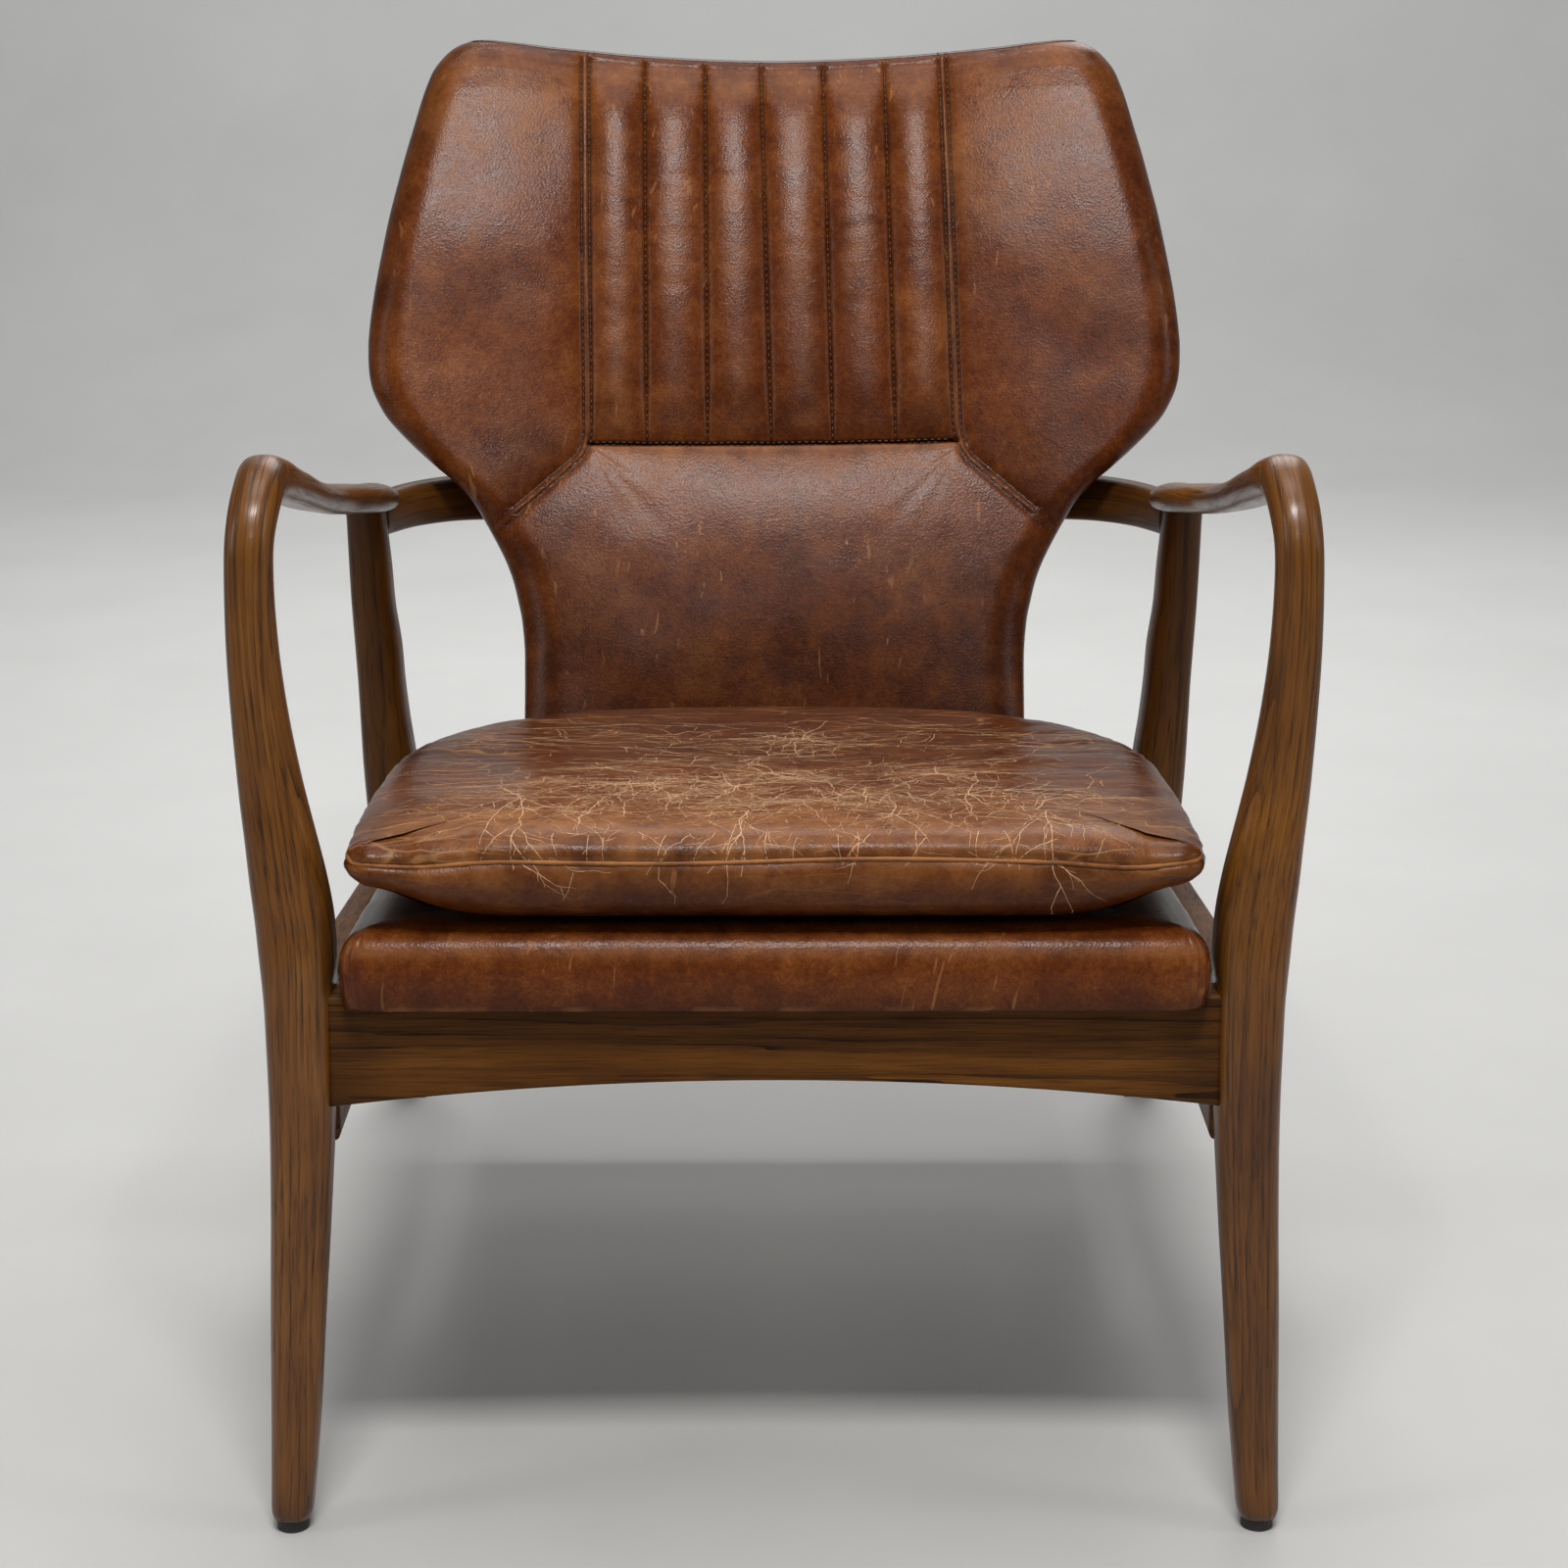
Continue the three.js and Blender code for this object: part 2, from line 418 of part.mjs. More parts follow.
add("cushion_zip", box(-109.4, 109.4, 445, 447.4, zipZ - 2.6, zipZ + 2.6), BRASS);

// ---------------------------------------------------------------- back
// height: half width of the outline
const BACK_PLAN = [
  [330, 180.8], [375, 180.8], [401.5, 181], [428, 183.2], [441, 186], [455, 189.6], [468, 194.6], [481.6, 201.6], [495, 209.2],
  [509, 218.2], [526, 234], [536, 246.2], [550, 261.9], [560, 272], [570.5, 281.2], [581, 287.4], [591, 291.8], [601, 294], [611, 294.8],
  [621, 295], [631, 294.3], [651, 291.9], [671, 288.6], [691, 284.8], [711.5, 280.6], [732, 275.4], [752, 270.2], [772, 264.4], [793, 258.2],
  [804, 254.2], [812, 250.6], [820, 244.4], [826, 238], [830, 231], [833, 222],
];
// top edge height by distance from the centre plane
const BACK_TOP = [[0, 816.4], [40, 817.4], [80, 819.4], [110, 821.6], [137, 824.3], [166, 827.2], [195, 831], [215, 832.6], [225, 832.4], [300, 832]];
const BACK_LEVELS = [330.5, 401, 441, 481.6, 526, 550, 581, 601, 631, 691, 752, 793];
const FRONT_ROLL = [30, 24], REAR_ROLL = [12, 10];   // corner rolls of the section, across and deep
const halfWidth = (z) => read(BACK_PLAN, z)[0];
const frontY = (x, z) => BACK_Y0 + BACK_RAKE * (z - BACK_Z0) - BACK_CURVE * (Math.min(Math.abs(x), BACK_HALF_MAX) / BACK_HALF_MAX) ** 2;
const thickAt = (u, z) => (BACK_T_MID - (BACK_T_MID - BACK_T_EDGE) * u * u) * (1 - 0.16 * Math.min(1, Math.max(0, (z - 560) / 272)));
// One layer of the back. g: inset of the outline. front and rear: where its faces lie, each a share of the thickness plus millimetres.
// roll, crest: how much of the corner and top rolls it takes. bottom: lift of its underside. across: points over half the width.
function backLayer({ g = 0, front = [0, 0], rear = [1, 0], roll = 1, crest = [roll, roll], bottom = 0, across = 4, levels = BACK_LEVELS }) {
  const zTopNom = 833;
  const rows = [...levels.map((z) => [z, 0, 0]), [815, 1.2, 1], [824, 4, 3.5], [830, 8.5, 7.5], [833, 14, 12]];
  const R1 = [Math.max(3, (FRONT_ROLL[0] - g) * roll), Math.max(2, (FRONT_ROLL[1] - g) * roll)];
  const R2 = [Math.max(2, (REAR_ROLL[0] - g) * roll), Math.max(1, (REAR_ROLL[1] - g) * roll)];
  const rings = rows.map(([zn, fi, ri], level) => {
    const zz = level === 0 ? BACK_BOTTOM + bottom : zn;
    const hw = halfWidth(zn) - g;
    const half = [];
    for (let i = 0; i <= across; i++) half.push([((hw - R1[0]) * i) / across, 0, 0]);
    for (const a of [35, 65, 90]) half.push([hw - R1[0] + R1[0] * Math.sin((a * Math.PI) / 180), 0, R1[1] * (1 - Math.cos((a * Math.PI) / 180))]);
    for (const a of [0, 45, 90]) half.push([hw - R2[0] * (1 - Math.cos((a * Math.PI) / 180)), 1, R2[1] * (1 - Math.sin((a * Math.PI) / 180))]);
    for (let i = across - 1; i >= 0; i--) half.push([((hw - R2[0]) * i) / across, 1, 0]);
    const ring = [...half, ...half.slice(1, -1).reverse().map(([x, s, d]) => [-x, s, d])];
    return ring.map(([x, back, d]) => {
      const zt = read(BACK_TOP, Math.abs(x))[0] - g;
      const z = zn < 700 ? zz : zz + (zt - zTopNom) * ((zn - 700) / (zTopNom - 700));
      const t = thickAt(Math.min(1, Math.abs(x) / halfWidth(zn)), z), y = frontY(x, z);
      const y0 = y + front[0] * t + front[1] + fi * crest[0], y1 = y + rear[0] * t + rear[1] - ri * crest[1];
      const fit = Math.min(1, (0.92 * (y1 - y0)) / (R1[1] + R2[1]));   // rolls never cross where the layer is thin
      return [x, (back ? y1 - d * fit : y0 + d * fit) - Y_MID, z];
    });
  });
  return loft(rings, 2 * across + 7);
}
const PANEL_REAR = [0.97, 0];                        // outer face of the rear panel
const rearFace = (x, z) => frontY(x, z) + PANEL_REAR[0] * thickAt(Math.abs(x) / halfWidth(z), z);

// fixing plates from the rear rail up the outside of the back, with a screw at each end
const PLATE_X = 60, PLATE_W = 22, PLATE_T = 3;
let plateHoles = null;
for (const [side, s] of [["left", 1], ["right", -1]]) {
  const y0 = REAR_RAIL_Y[0] - GAP - PLATE_T;
  const inner = PLATE_X - PLATE_W / 2;
  const zs = [372, 392, 412, 434, 456], lean = zs.map((z) => Math.max(y0, rearFace(inner, z) + GAP + 0.3));
  const front = [[y0, 232], ...zs.map((z, i) => [lean[i], z])];
  const outline = [...front, ...[...front].reverse().map(([y, z]) => [y + PLATE_T, z])];
  const shape = new THREE.Shape(outline.map(([y, z]) => new THREE.Vector2(y - Y_MID, z)));
  const g = new THREE.ExtrudeGeometry(shape, { depth: PLATE_W, bevelEnabled: false });
  g.applyMatrix4(new THREE.Matrix4().makeBasis(new THREE.Vector3(0, 1, 0), new THREE.Vector3(0, 0, 1), new THREE.Vector3(1, 0, 0)));
  g.translate(s * PLATE_X - PLATE_W / 2, 0, 0);
  const low = [s * PLATE_X, y0 - 3, 250], high = [s * PLATE_X, lean[4] + PLATE_T + 2.6, 442];
  const hole = solid(rod([low[0], low[1], 250], [low[0], 588, 250], 2.6, 8)).add(solid(rod(high, [high[0], high[1] - 30, 442], 2.6, 8)));
  plateHoles = plateHoles ? plateHoles.add(hole) : hole;
  add(`back_plate_${side}`, solid(g).subtract(hole), STEEL);
  add(`plate_screw_low_${side}`, solid(rod([low[0], y0 - 2.6, 250], [low[0], y0 - GAP, 250], 4.4, 12)).add(solid(rod([low[0], y0 - 1, 250], [low[0], 587, 250], 2, 8))), STEEL);
  const yb = Math.max(...[438, 446].map((z) => rearFace(inner, z))) + GAP + PLATE_T + 2.3;
  add(`plate_screw_high_${side}`, solid(rod([high[0], yb + 2.4, 442], [high[0], yb, 442], 4.4, 12)).add(solid(rod([high[0], yb + 1, 442], [high[0], high[1] - 28, 442], 2, 8))), STEEL);
}
add("rear_rail", solid(slopedBox(-249.6, 249.6, REAR_RAIL_Y[0], REAR_RAIL_Y[1], 218, 280, 0)).subtract(rlegCut).subtract(plateHoles), WOOD_DARK);

// leather cup: front, sides, top and underside, open behind; then foam, bent shell and rear panel
const backOuter = solid(backLayer({}));
const backHollow = solid(backLayer({ g: LEATHER + 0.2, front: [0, LEATHER], rear: [1, 40], bottom: 2 }));
add("back_cover", backOuter.subtract(backHollow), HIDE);
add("back_foam", solid(backLayer({ g: 4.6, front: [0, 3.4], rear: [0.66, 0], crest: [1, 0], bottom: 3.5 })), FOAM);
add("back_shell", solid(backLayer({ g: 10, front: [0.69, 0], rear: [0.88, 0], roll: 0.1, bottom: 3.5, across: 3 })).subtract(boltHoles).subtract(plateHoles), RAW_WOOD);
add("back_rear_panel", solid(backLayer({ g: 4, front: [0.9, 0], rear: PANEL_REAR, roll: 0.1, bottom: 3.5, across: 3 })).subtract(boltHoles).subtract(plateHoles), HIDE_REAR);

// bolts through the bow rail into the shell, each with a spacer shaped to the raked panel
const backReach = solid(backLayer({ g: 0, rear: [PANEL_REAR[0], 0.5], roll: 0.1, across: 3 }));
for (const [side, s] of [["left", 1], ["right", -1]]) {
  const X = s * BOLT_X;
  add(`back_bolt_${side}`, solid(rod([X, 643.4, BOW_Z], [X, BOLT_HEAD_Y, BOW_Z], 8, 16)).add(solid(rod([X, BOLT_HEAD_Y + 1, BOW_Z], [X, 594, BOW_Z], 3.8, 10))), STEEL);
  add(`back_spacer_${side}`, solid(rod([X, 590, BOW_Z], [X, 640, BOW_Z], 13, 16)).subtract(backReach).subtract(boltHoles).subtract(bowCut).intersect(solid(rod([X, 590, BOW_Z], [X, 627, BOW_Z], 14, 16))), WOOD_DARK);
}

export default group;
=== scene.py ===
# Worn open-arm lounge chair: the looks. Metres, the shared frame; the chair faces -Y.
import bpy, math
import numpy as np
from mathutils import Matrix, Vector


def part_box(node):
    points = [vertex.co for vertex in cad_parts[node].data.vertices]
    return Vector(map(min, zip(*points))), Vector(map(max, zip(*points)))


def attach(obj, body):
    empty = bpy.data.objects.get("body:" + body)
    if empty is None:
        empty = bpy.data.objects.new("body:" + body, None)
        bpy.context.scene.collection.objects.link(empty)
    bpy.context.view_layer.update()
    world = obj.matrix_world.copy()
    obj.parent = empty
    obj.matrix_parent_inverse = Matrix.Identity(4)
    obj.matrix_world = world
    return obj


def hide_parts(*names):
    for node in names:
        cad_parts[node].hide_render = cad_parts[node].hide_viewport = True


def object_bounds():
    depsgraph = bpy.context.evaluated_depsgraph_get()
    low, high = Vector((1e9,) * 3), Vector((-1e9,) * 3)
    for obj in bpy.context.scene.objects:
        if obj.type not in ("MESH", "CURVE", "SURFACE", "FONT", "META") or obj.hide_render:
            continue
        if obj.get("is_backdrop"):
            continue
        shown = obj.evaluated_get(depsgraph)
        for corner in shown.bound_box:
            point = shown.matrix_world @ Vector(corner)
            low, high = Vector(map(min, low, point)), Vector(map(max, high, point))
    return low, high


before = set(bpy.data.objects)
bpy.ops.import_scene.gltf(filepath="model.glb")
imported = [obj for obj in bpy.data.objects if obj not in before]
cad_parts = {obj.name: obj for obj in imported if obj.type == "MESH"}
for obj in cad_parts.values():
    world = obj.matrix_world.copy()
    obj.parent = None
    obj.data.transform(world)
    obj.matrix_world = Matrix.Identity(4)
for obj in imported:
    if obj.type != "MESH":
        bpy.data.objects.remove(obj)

CAD_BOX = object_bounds()
YM = 0.3469            # from the front foot centres back to the middle of the box
rng = np.random.RandomState(7)
scene = bpy.context.scene
scene.view_settings.view_transform = "Standard"

# ------------------------------------------------------------------ helpers
def pchip(xs, ys, xq):
    xs = np.asarray(xs, float); ys = np.asarray(ys, float); xq = np.clip(np.asarray(xq, float), xs[0], xs[-1])
    h = np.diff(xs); dl = np.diff(ys) / h
    m = np.zeros_like(ys)
    for i in range(1, len(xs) - 1):
        if dl[i - 1] * dl[i] > 0:
            w1 = 2 * h[i] + h[i - 1]; w2 = h[i] + 2 * h[i - 1]
            m[i] = (w1 + w2) / (w1 / dl[i - 1] + w2 / dl[i])
    m[0] = dl[0]; m[-1] = dl[-1]
    k = np.clip(np.searchsorted(xs, xq, side="right") - 1, 0, len(xs) - 2)
    t = (xq - xs[k]) / h[k]
    return ((2 * t**3 - 3 * t**2 + 1) * ys[k] + (t**3 - 2 * t**2 + t) * h[k] * m[k]
            + (-2 * t**3 + 3 * t**2) * ys[k + 1] + (t**3 - t**2) * h[k] * m[k + 1])

def catmull(xs, ys, xq):
    xs = np.asarray(xs, float); ys = np.asarray(ys, float); xq = np.clip(np.asarray(xq, float), xs[0], xs[-1])
    m = np.gradient(ys, xs)
    h = np.diff(xs); k = np.clip(np.searchsorted(xs, xq, side="right") - 1, 0, len(xs) - 2)
    t = (xq - xs[k]) / h[k]
    return ((2 * t**3 - 3 * t**2 + 1) * ys[k] + (t**3 - 2 * t**2 + t) * h[k] * m[k]
            + (-2 * t**3 + 3 * t**2) * ys[k + 1] + (t**3 - t**2) * h[k] * m[k + 1])

def smooth(a, b, x):
    t = np.clip((x - a) / (b - a), 0, 1)
    return t * t * (3 - 2 * t)

_tab = rng.rand(64, 64, 64)
def vnoise(p):
    """Value noise 0..1 on points (n,3); lattice step 1."""
    p = np.asarray(p, float); i = np.floor(p).astype(int); f = p - i; f = f * f * (3 - 2 * f)
    out = 0
    for dx in (0, 1):
        for dy in (0, 1):
            for dz in (0, 1):
                w = (f[..., 0] if dx else 1 - f[..., 0]) * (f[..., 1] if dy else 1 - f[..., 1]) * (f[..., 2] if dz else 1 - f[..., 2])
                out = out + w * _tab[(i[..., 0] + dx) % 64, (i[..., 1] + dy) % 64, (i[..., 2] + dz) % 64]
    return out

def n2(x, y, sx, sy, seed=0.0):
    return vnoise(np.stack([x * sx + seed * 7.3, y * sy + seed * 3.1, np.full_like(x, seed * 1.7)], -1)) * 2 - 1

def make(name, verts, faces, mat, attrs=None, smooth_faces=True):
    me = bpy.data.meshes.new(name)
    me.from_pydata([tuple(v) for v in np.asarray(verts, float)], [], [tuple(int(i) for i in f) for f in faces])
    me.update()
    for k, data in (attrs or {}).items():
        data = np.asarray(data, np.float32)
        if data.ndim == 2:
            a = me.attributes.new(k, "FLOAT_VECTOR", "POINT"); a.data.foreach_set("vector", data.ravel())
        else:
            a = me.attributes.new(k, "FLOAT", "POINT"); a.data.foreach_set("value", data)
    me.polygons.foreach_set("use_smooth", [smooth_faces] * len(me.polygons))
    me.materials.append(mat)
    ob = bpy.data.objects.new(name, me)
    scene.collection.objects.link(ob)
    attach(ob, "root")
    return ob

def outward(verts, faces):
    """Turn all faces over if the closed body is inside out."""
    v = np.asarray(verts); vol = 0.0
    for f in faces:
        a = v[f[0]]
        for i in range(1, len(f) - 1):
            vol += np.dot(a, np.cross(v[f[i]], v[f[i + 1]]))
    return faces if vol > 0 else [tuple(reversed(f)) for f in faces]

def ringfaces(R, N, off=0):
    return [(off + i * N + k, off + i * N + (k + 1) % N, off + (i + 1) * N + (k + 1) % N, off + (i + 1) * N + k)
            for i in range(R - 1) for k in range(N)]

# ------------------------------------------------------------------ shader helpers
class Mat:
    def __init__(self, name):
        self.m = bpy.data.materials.new(name); self.m.use_nodes = True
        self.t = self.m.node_tree; self.t.nodes.clear()
        self.out = self.n("ShaderNodeOutputMaterial"); self.b = self.n("ShaderNodeBsdfPrincipled")
        self.t.links.new(self.b.outputs[0], self.out.inputs[0])
    def n(self, kind, **kw):
        x = self.t.nodes.new(kind)
        for k, v in kw.items(): setattr(x, k, v)
        return x
    def link(self, a, b): self.t.links.new(a, b)
    def put(self, sock, v):
        if hasattr(v, "is_output"): self.link(v, sock)
        else: sock.default_value = v
    def math(self, op, a, b=None, c=None, clamp=False):
        x = self.n("ShaderNodeMath", operation=op, use_clamp=clamp)
        for i, v in enumerate((a, b, c)):
            if v is not None: self.put(x.inputs[i], v)
        return x.outputs[0]
    def mul(self, a, b): return self.math("MULTIPLY", a, b)
    def addm(self, a, b): return self.math("ADD", a, b)
    def noise(self, vec, scale, detail=4, rough=0.55, dist=0.0, out="Fac"):
        x = self.n("ShaderNodeTexNoise"); x.noise_dimensions = "3D"
        self.link(vec, x.inputs["Vector"]); x.inputs["Scale"].default_value = scale
        x.inputs["Detail"].default_value = detail; x.inputs["Roughness"].default_value = rough
        x.inputs["Distortion"].default_value = dist
        return x.outputs[out]
    def voro(self, vec, scale, feature="DISTANCE_TO_EDGE", rand=1.0, out="Distance"):
        x = self.n("ShaderNodeTexVoronoi", feature=feature)
        self.link(vec, x.inputs["Vector"]); x.inputs["Scale"].default_value = scale
        x.inputs["Randomness"].default_value = rand
        return x.outputs[out]
    def ramp(self, fac, stops, interp="LINEAR"):
        x = self.n("ShaderNodeValToRGB"); self.link(fac, x.inputs[0]); x.color_ramp.interpolation = interp
        e = x.color_ramp.elements
        while len(e) < len(stops): e.new(0.5)
        for i, (p, c) in enumerate(stops):
            e[i].position = p; e[i].color = (*c, 1) if len(c) == 3 else c
        return x.outputs[0]
    def map(self, fac, a, b, c=0.0, d=1.0, interp="SMOOTHSTEP"):
        x = self.n("ShaderNodeMapRange", interpolation_type=interp)
        self.link(fac, x.inputs[0])
        for i, v in enumerate((a, b, c, d)): x.inputs[i + 1].default_value = v
        return x.outputs[0]
    def mix(self, fac, a, b, blend="MIX"):
        x = self.n("ShaderNodeMix", data_type="RGBA", blend_type=blend)
        self.put(x.inputs[0], fac)
        self.put(x.inputs[6], (*a, 1) if isinstance(a, tuple) and len(a) == 3 else a)
        self.put(x.inputs[7], (*b, 1) if isinstance(b, tuple) and len(b) == 3 else b)
        return x.outputs[2]
    def obj(self, scale=(1, 1, 1), loc=(0, 0, 0), rot=(0, 0, 0)):
        c = self.n("ShaderNodeTexCoord").outputs["Object"]
        x = self.n("ShaderNodeMapping"); self.link(c, x.inputs[0])
        x.inputs[1].default_value = loc; x.inputs[2].default_value = rot; x.inputs[3].default_value = scale
        return x.outputs[0]
    def mapping(self, vec, scale=(1, 1, 1), loc=(0, 0, 0), rot=(0, 0, 0)):
        x = self.n("ShaderNodeMapping"); self.link(vec, x.inputs[0])
        x.inputs[1].default_value = loc; x.inputs[2].default_value = rot; x.inputs[3].default_value = scale
        return x.outputs[0]
    def attr(self, name, vec=False):
        x = self.n("ShaderNodeAttribute", attribute_name=name); return x.outputs["Vector" if vec else "Fac"]
    def warp(self, vec, scale, amount, detail=2):
        nz = self.noise(vec, scale, detail, out="Color")
        s = self.n("ShaderNodeVectorMath", operation="SUBTRACT"); self.link(nz, s.inputs[0]); s.inputs[1].default_value = (0.5, 0.5, 0.5)
        k = self.n("ShaderNodeVectorMath", operation="SCALE"); self.link(s.outputs[0], k.inputs[0]); k.inputs["Scale"].default_value = amount
        a = self.n("ShaderNodeVectorMath", operation="ADD"); self.link(vec, a.inputs[0]); self.link(k.outputs[0], a.inputs[1])
        return a.outputs[0]
    def bump(self, h, strength, dist, prev=None):
        x = self.n("ShaderNodeBump"); x.inputs["Strength"].default_value = strength; x.inputs["Distance"].default_value = dist
        self.link(h, x.inputs["Height"])
        if prev is not None: self.link(prev, x.inputs["Normal"])
        return x.outputs[0]

# ------------------------------------------------------------------ leather
def leather(name, crack=False, dark=1.0, rough0=0.34):
    """Pull-up hide. Attributes: wear (rubbed tan, and painted highlight), burn (burnished dark, and painted shade),
    crack (crazed zone), crease (stretched folds).
    """
    M = Mat(name); P = M.obj()
    wear_and_highlight, burnish_and_shade = M.attr("wear_and_highlight"), M.attr("burnish_and_shade")
    big = M.noise(P, 8.0, 3, 0.55, 0.5); mid = M.noise(P, 42.0, 5, 0.66, 0.25); fine = M.noise(P, 260.0, 3, 0.7)
    tone = M.addm(M.addm(M.mul(big, 0.30), M.mul(mid, 0.40)), M.mul(fine, 0.30))
    d = dark
    col = M.ramp(tone, [(0.36, (0.066 * d, 0.0125 * d, 0.0012 * d)), (0.46, (0.104 * d, 0.0218 * d, 0.0024 * d)), (0.54, (0.150 * d, 0.0365 * d, 0.0043 * d)), (0.66, (0.225 * d, 0.068 * d, 0.0115 * d))])
    # pebble grain shared by the colour and the bump
    peb = M.voro(P, 640.0, "F1")
    col = M.mix(M.map(peb, 0.30, 0.75, 0.0, 0.30), col, (0.030, 0.0075, 0.0022))
    # rubbed zones and painted highlights go lighter and more orange; burnished zones and painted shade go darker
    wear_and_highlight_fac = M.math("MULTIPLY", wear_and_highlight, M.map(mid, 0.30, 0.66, 0.30, 1.0), clamp=True)
    col = M.mix(wear_and_highlight_fac, col, (0.37, 0.150, 0.044))
    col = M.mix(M.math("MULTIPLY", burnish_and_shade, M.map(mid, 0.25, 0.75, 1.0, 0.66), clamp=True), col, (0.0120, 0.0024, 0.0007))
    roughv = M.addm(M.mul(mid, 0.20), rough0 - 0.10)
    wr = M.noise(P, 150.0, 4, 0.66, 1.4)
    height = None
    # thin scuffs left by years of use
    sc_ = M.mul(M.map(M.noise(M.mapping(M.warp(P, 5.0, 0.05, 2), (1.0, 0.6, 0.07), (0.2, 0.5, 0.1)), 190.0, 2, 0.5, 0.3), 0.665, 0.70), M.map(M.noise(P, 9.0, 2, 0.5), 0.50, 0.62, 0.0, 0.34))
    col = M.mix(sc_, col, (0.40, 0.185, 0.068))
    if crack:
        zone, crease = M.attr("crack"), M.attr("crease")
        w = M.warp(P, 30.0, 0.010, 2)
        e = M.map(M.voro(w, 92.0), 0.0, 0.040, 1.0, 0.0)
        e = M.mul(M.mul(e, M.map(M.noise(P, 15.0, 2, 0.5), 0.42, 0.60)), M.map(zone, 0.35, 1.0, 0.0, 0.40))
        L = M.mapping(w, (0.17, 1.0, 1.0), (3.0, 1.0, 0.4))
        g = M.mul(M.mul(M.map(M.voro(L, 74.0), 0.0, 0.050, 1.0, 0.0), M.map(M.noise(M.mapping(P, (0.5, 1, 1), (1, 4, 2)), 18.0, 2, 0.6), 0.45, 0.60)), M.mul(crease, 0.62))
        cr = M.math("MAXIMUM", e, g)
        hair = M.map(M.noise(w, 430.0, 4, 0.8), 0.55, 0.68)
        halo = M.mul(M.mul(hair, M.map(mid, 0.38, 0.60)), M.map(zone, 0.25, 1.0, 0.0, 0.40))
        col = M.mix(halo, col, (0.40, 0.185, 0.062))
        col = M.mix(M.mul(cr, 0.80), col, (0.44, 0.225, 0.090))
        height = M.addm(M.mul(cr, -0.8), M.mul(halo, -0.15))
        roughv = M.addm(roughv, M.mul(cr, 0.22))
    M.link(col, M.b.inputs["Base Color"])
    M.link(M.math("ADD", roughv, M.mul(wear_and_highlight_fac, 0.08), clamp=True), M.b.inputs["Roughness"])
    M.b.inputs["Specular IOR Level"].default_value = 0.19
    nrm = M.bump(peb, 0.20, 0.0005)
    nrm = M.bump(wr, 0.17, 0.0010, nrm)
    if height is not None: nrm = M.bump(height, 0.7, 0.0006, nrm)
    M.link(nrm, M.b.inputs["Normal"])
    return M.m

# ------------------------------------------------------------------ wood
def wood(name, tone=1.0, ring=210.0, contrast=1.0, rough0=0.30, spec=0.34, coat=0.10):
    """Stained open-grained ash. The grain attribute holds metres: across, deep, along."""
    M = Mat(name); G = M.attr("grain", True)
    # growth rings: wavering bands that run with the piece, wide and narrow years mixed
    g0 = M.mapping(G, (1, 1, 0.050))
    w = M.warp(g0, 12.0, 0.026, 2)
    sep = M.n("ShaderNodeSeparateXYZ"); M.link(w, sep.inputs[0])
    ringc = M.math("SQRT", M.addm(M.math("POWER", M.addm(sep.outputs[0], 0.050), 2.0), M.math("POWER", M.addm(sep.outputs[1], 0.031), 2.0)))
    ph = M.addm(M.mul(ringc, ring), M.mul(M.noise(w, 60.0, 2, 0.6), 3.2))
    saw = M.math("FRACT", ph)
    band = M.map(saw, 0.0, 0.75, 1.0, 0.0, "LINEAR")
    band = M.mul(M.mul(band, band), M.map(M.noise(M.mapping(G, (1, 1, 0.06)), 110.0, 2, 0.6), 0.30, 0.62, 0.15, 1.0))
    # open pores: short dark dashes along the grain, thickest in the early wood
    pores = M.map(M.noise(M.mapping(G, (1, 1, 0.030), (0.3, 0.2, 0.1)), 880.0, 3, 0.65), 0.50, 0.62)
    streak = M.map(M.noise(M.mapping(G, (1, 1, 0.016), (0.7, 0.5, 0.2)), 300.0, 4, 0.72), 0.47, 0.66)
    broad = M.noise(M.mapping(G, (1, 1, 0.30)), 18.0, 3, 0.6)
    t = tone
    base = M.ramp(broad, [(0.30, (0.098 * t, 0.0315 * t, 0.0036 * t)), (0.52, (0.165 * t, 0.0585 * t, 0.0068 * t)), (0.72, (0.240 * t, 0.094 * t, 0.0130 * t))])
    base = M.mix(M.mul(streak, 0.50), base, (0.050 * t, 0.0150 * t, 0.0022 * t))
    k = M.math("MULTIPLY", band, 0.66 * contrast, clamp=True)
    col = M.mix(k, base, (0.020 * t, 0.0062 * t, 0.0014 * t))
    pk = M.math("MULTIPLY", M.mul(pores, M.addm(M.mul(band, 0.70), 0.34)), 0.92, clamp=True)
    col = M.mix(pk, col, (0.0095, 0.0036, 0.0012))
    # the burn mask darkens the wood: real darkening in places, painted shade under and between parts in others
    dk = M.attr("burnish_and_shade")
    col = M.mix(M.math("MULTIPLY", dk, 0.85, clamp=True), col, (0.014, 0.0055, 0.0022))
    # knocks and rubbed edges
    P = M.obj()
    chip = M.map(M.noise(P, 90.0, 4, 0.65), 0.735, 0.765)
    col = M.mix(M.mul(chip, M.math("MULTIPLY", M.attr("wear_and_highlight"), 1.0, clamp=True)), col, (0.42, 0.27, 0.14))
    M.link(col, M.b.inputs["Base Color"])
    rr = M.addm(M.mul(M.noise(P, 30.0, 3, 0.6), 0.14), rough0 - 0.06)
    M.link(M.addm(rr, M.mul(pk, 0.2)), M.b.inputs["Roughness"])
    M.b.inputs["Specular IOR Level"].default_value = spec; M.b.inputs["Coat Weight"].default_value = coat; M.b.inputs["Coat Roughness"].default_value = 0.16
    h = M.addm(M.mul(pk, -1.0), M.mul(k, -0.35))
    n = M.bump(h, 0.35, 0.0004)
    n = M.bump(M.noise(M.mapping(G, (1, 1, 0.25)), 60.0, 2, 0.5), 0.10, 0.001, n)
    M.link(n, M.b.inputs["Normal"])
    return M.m

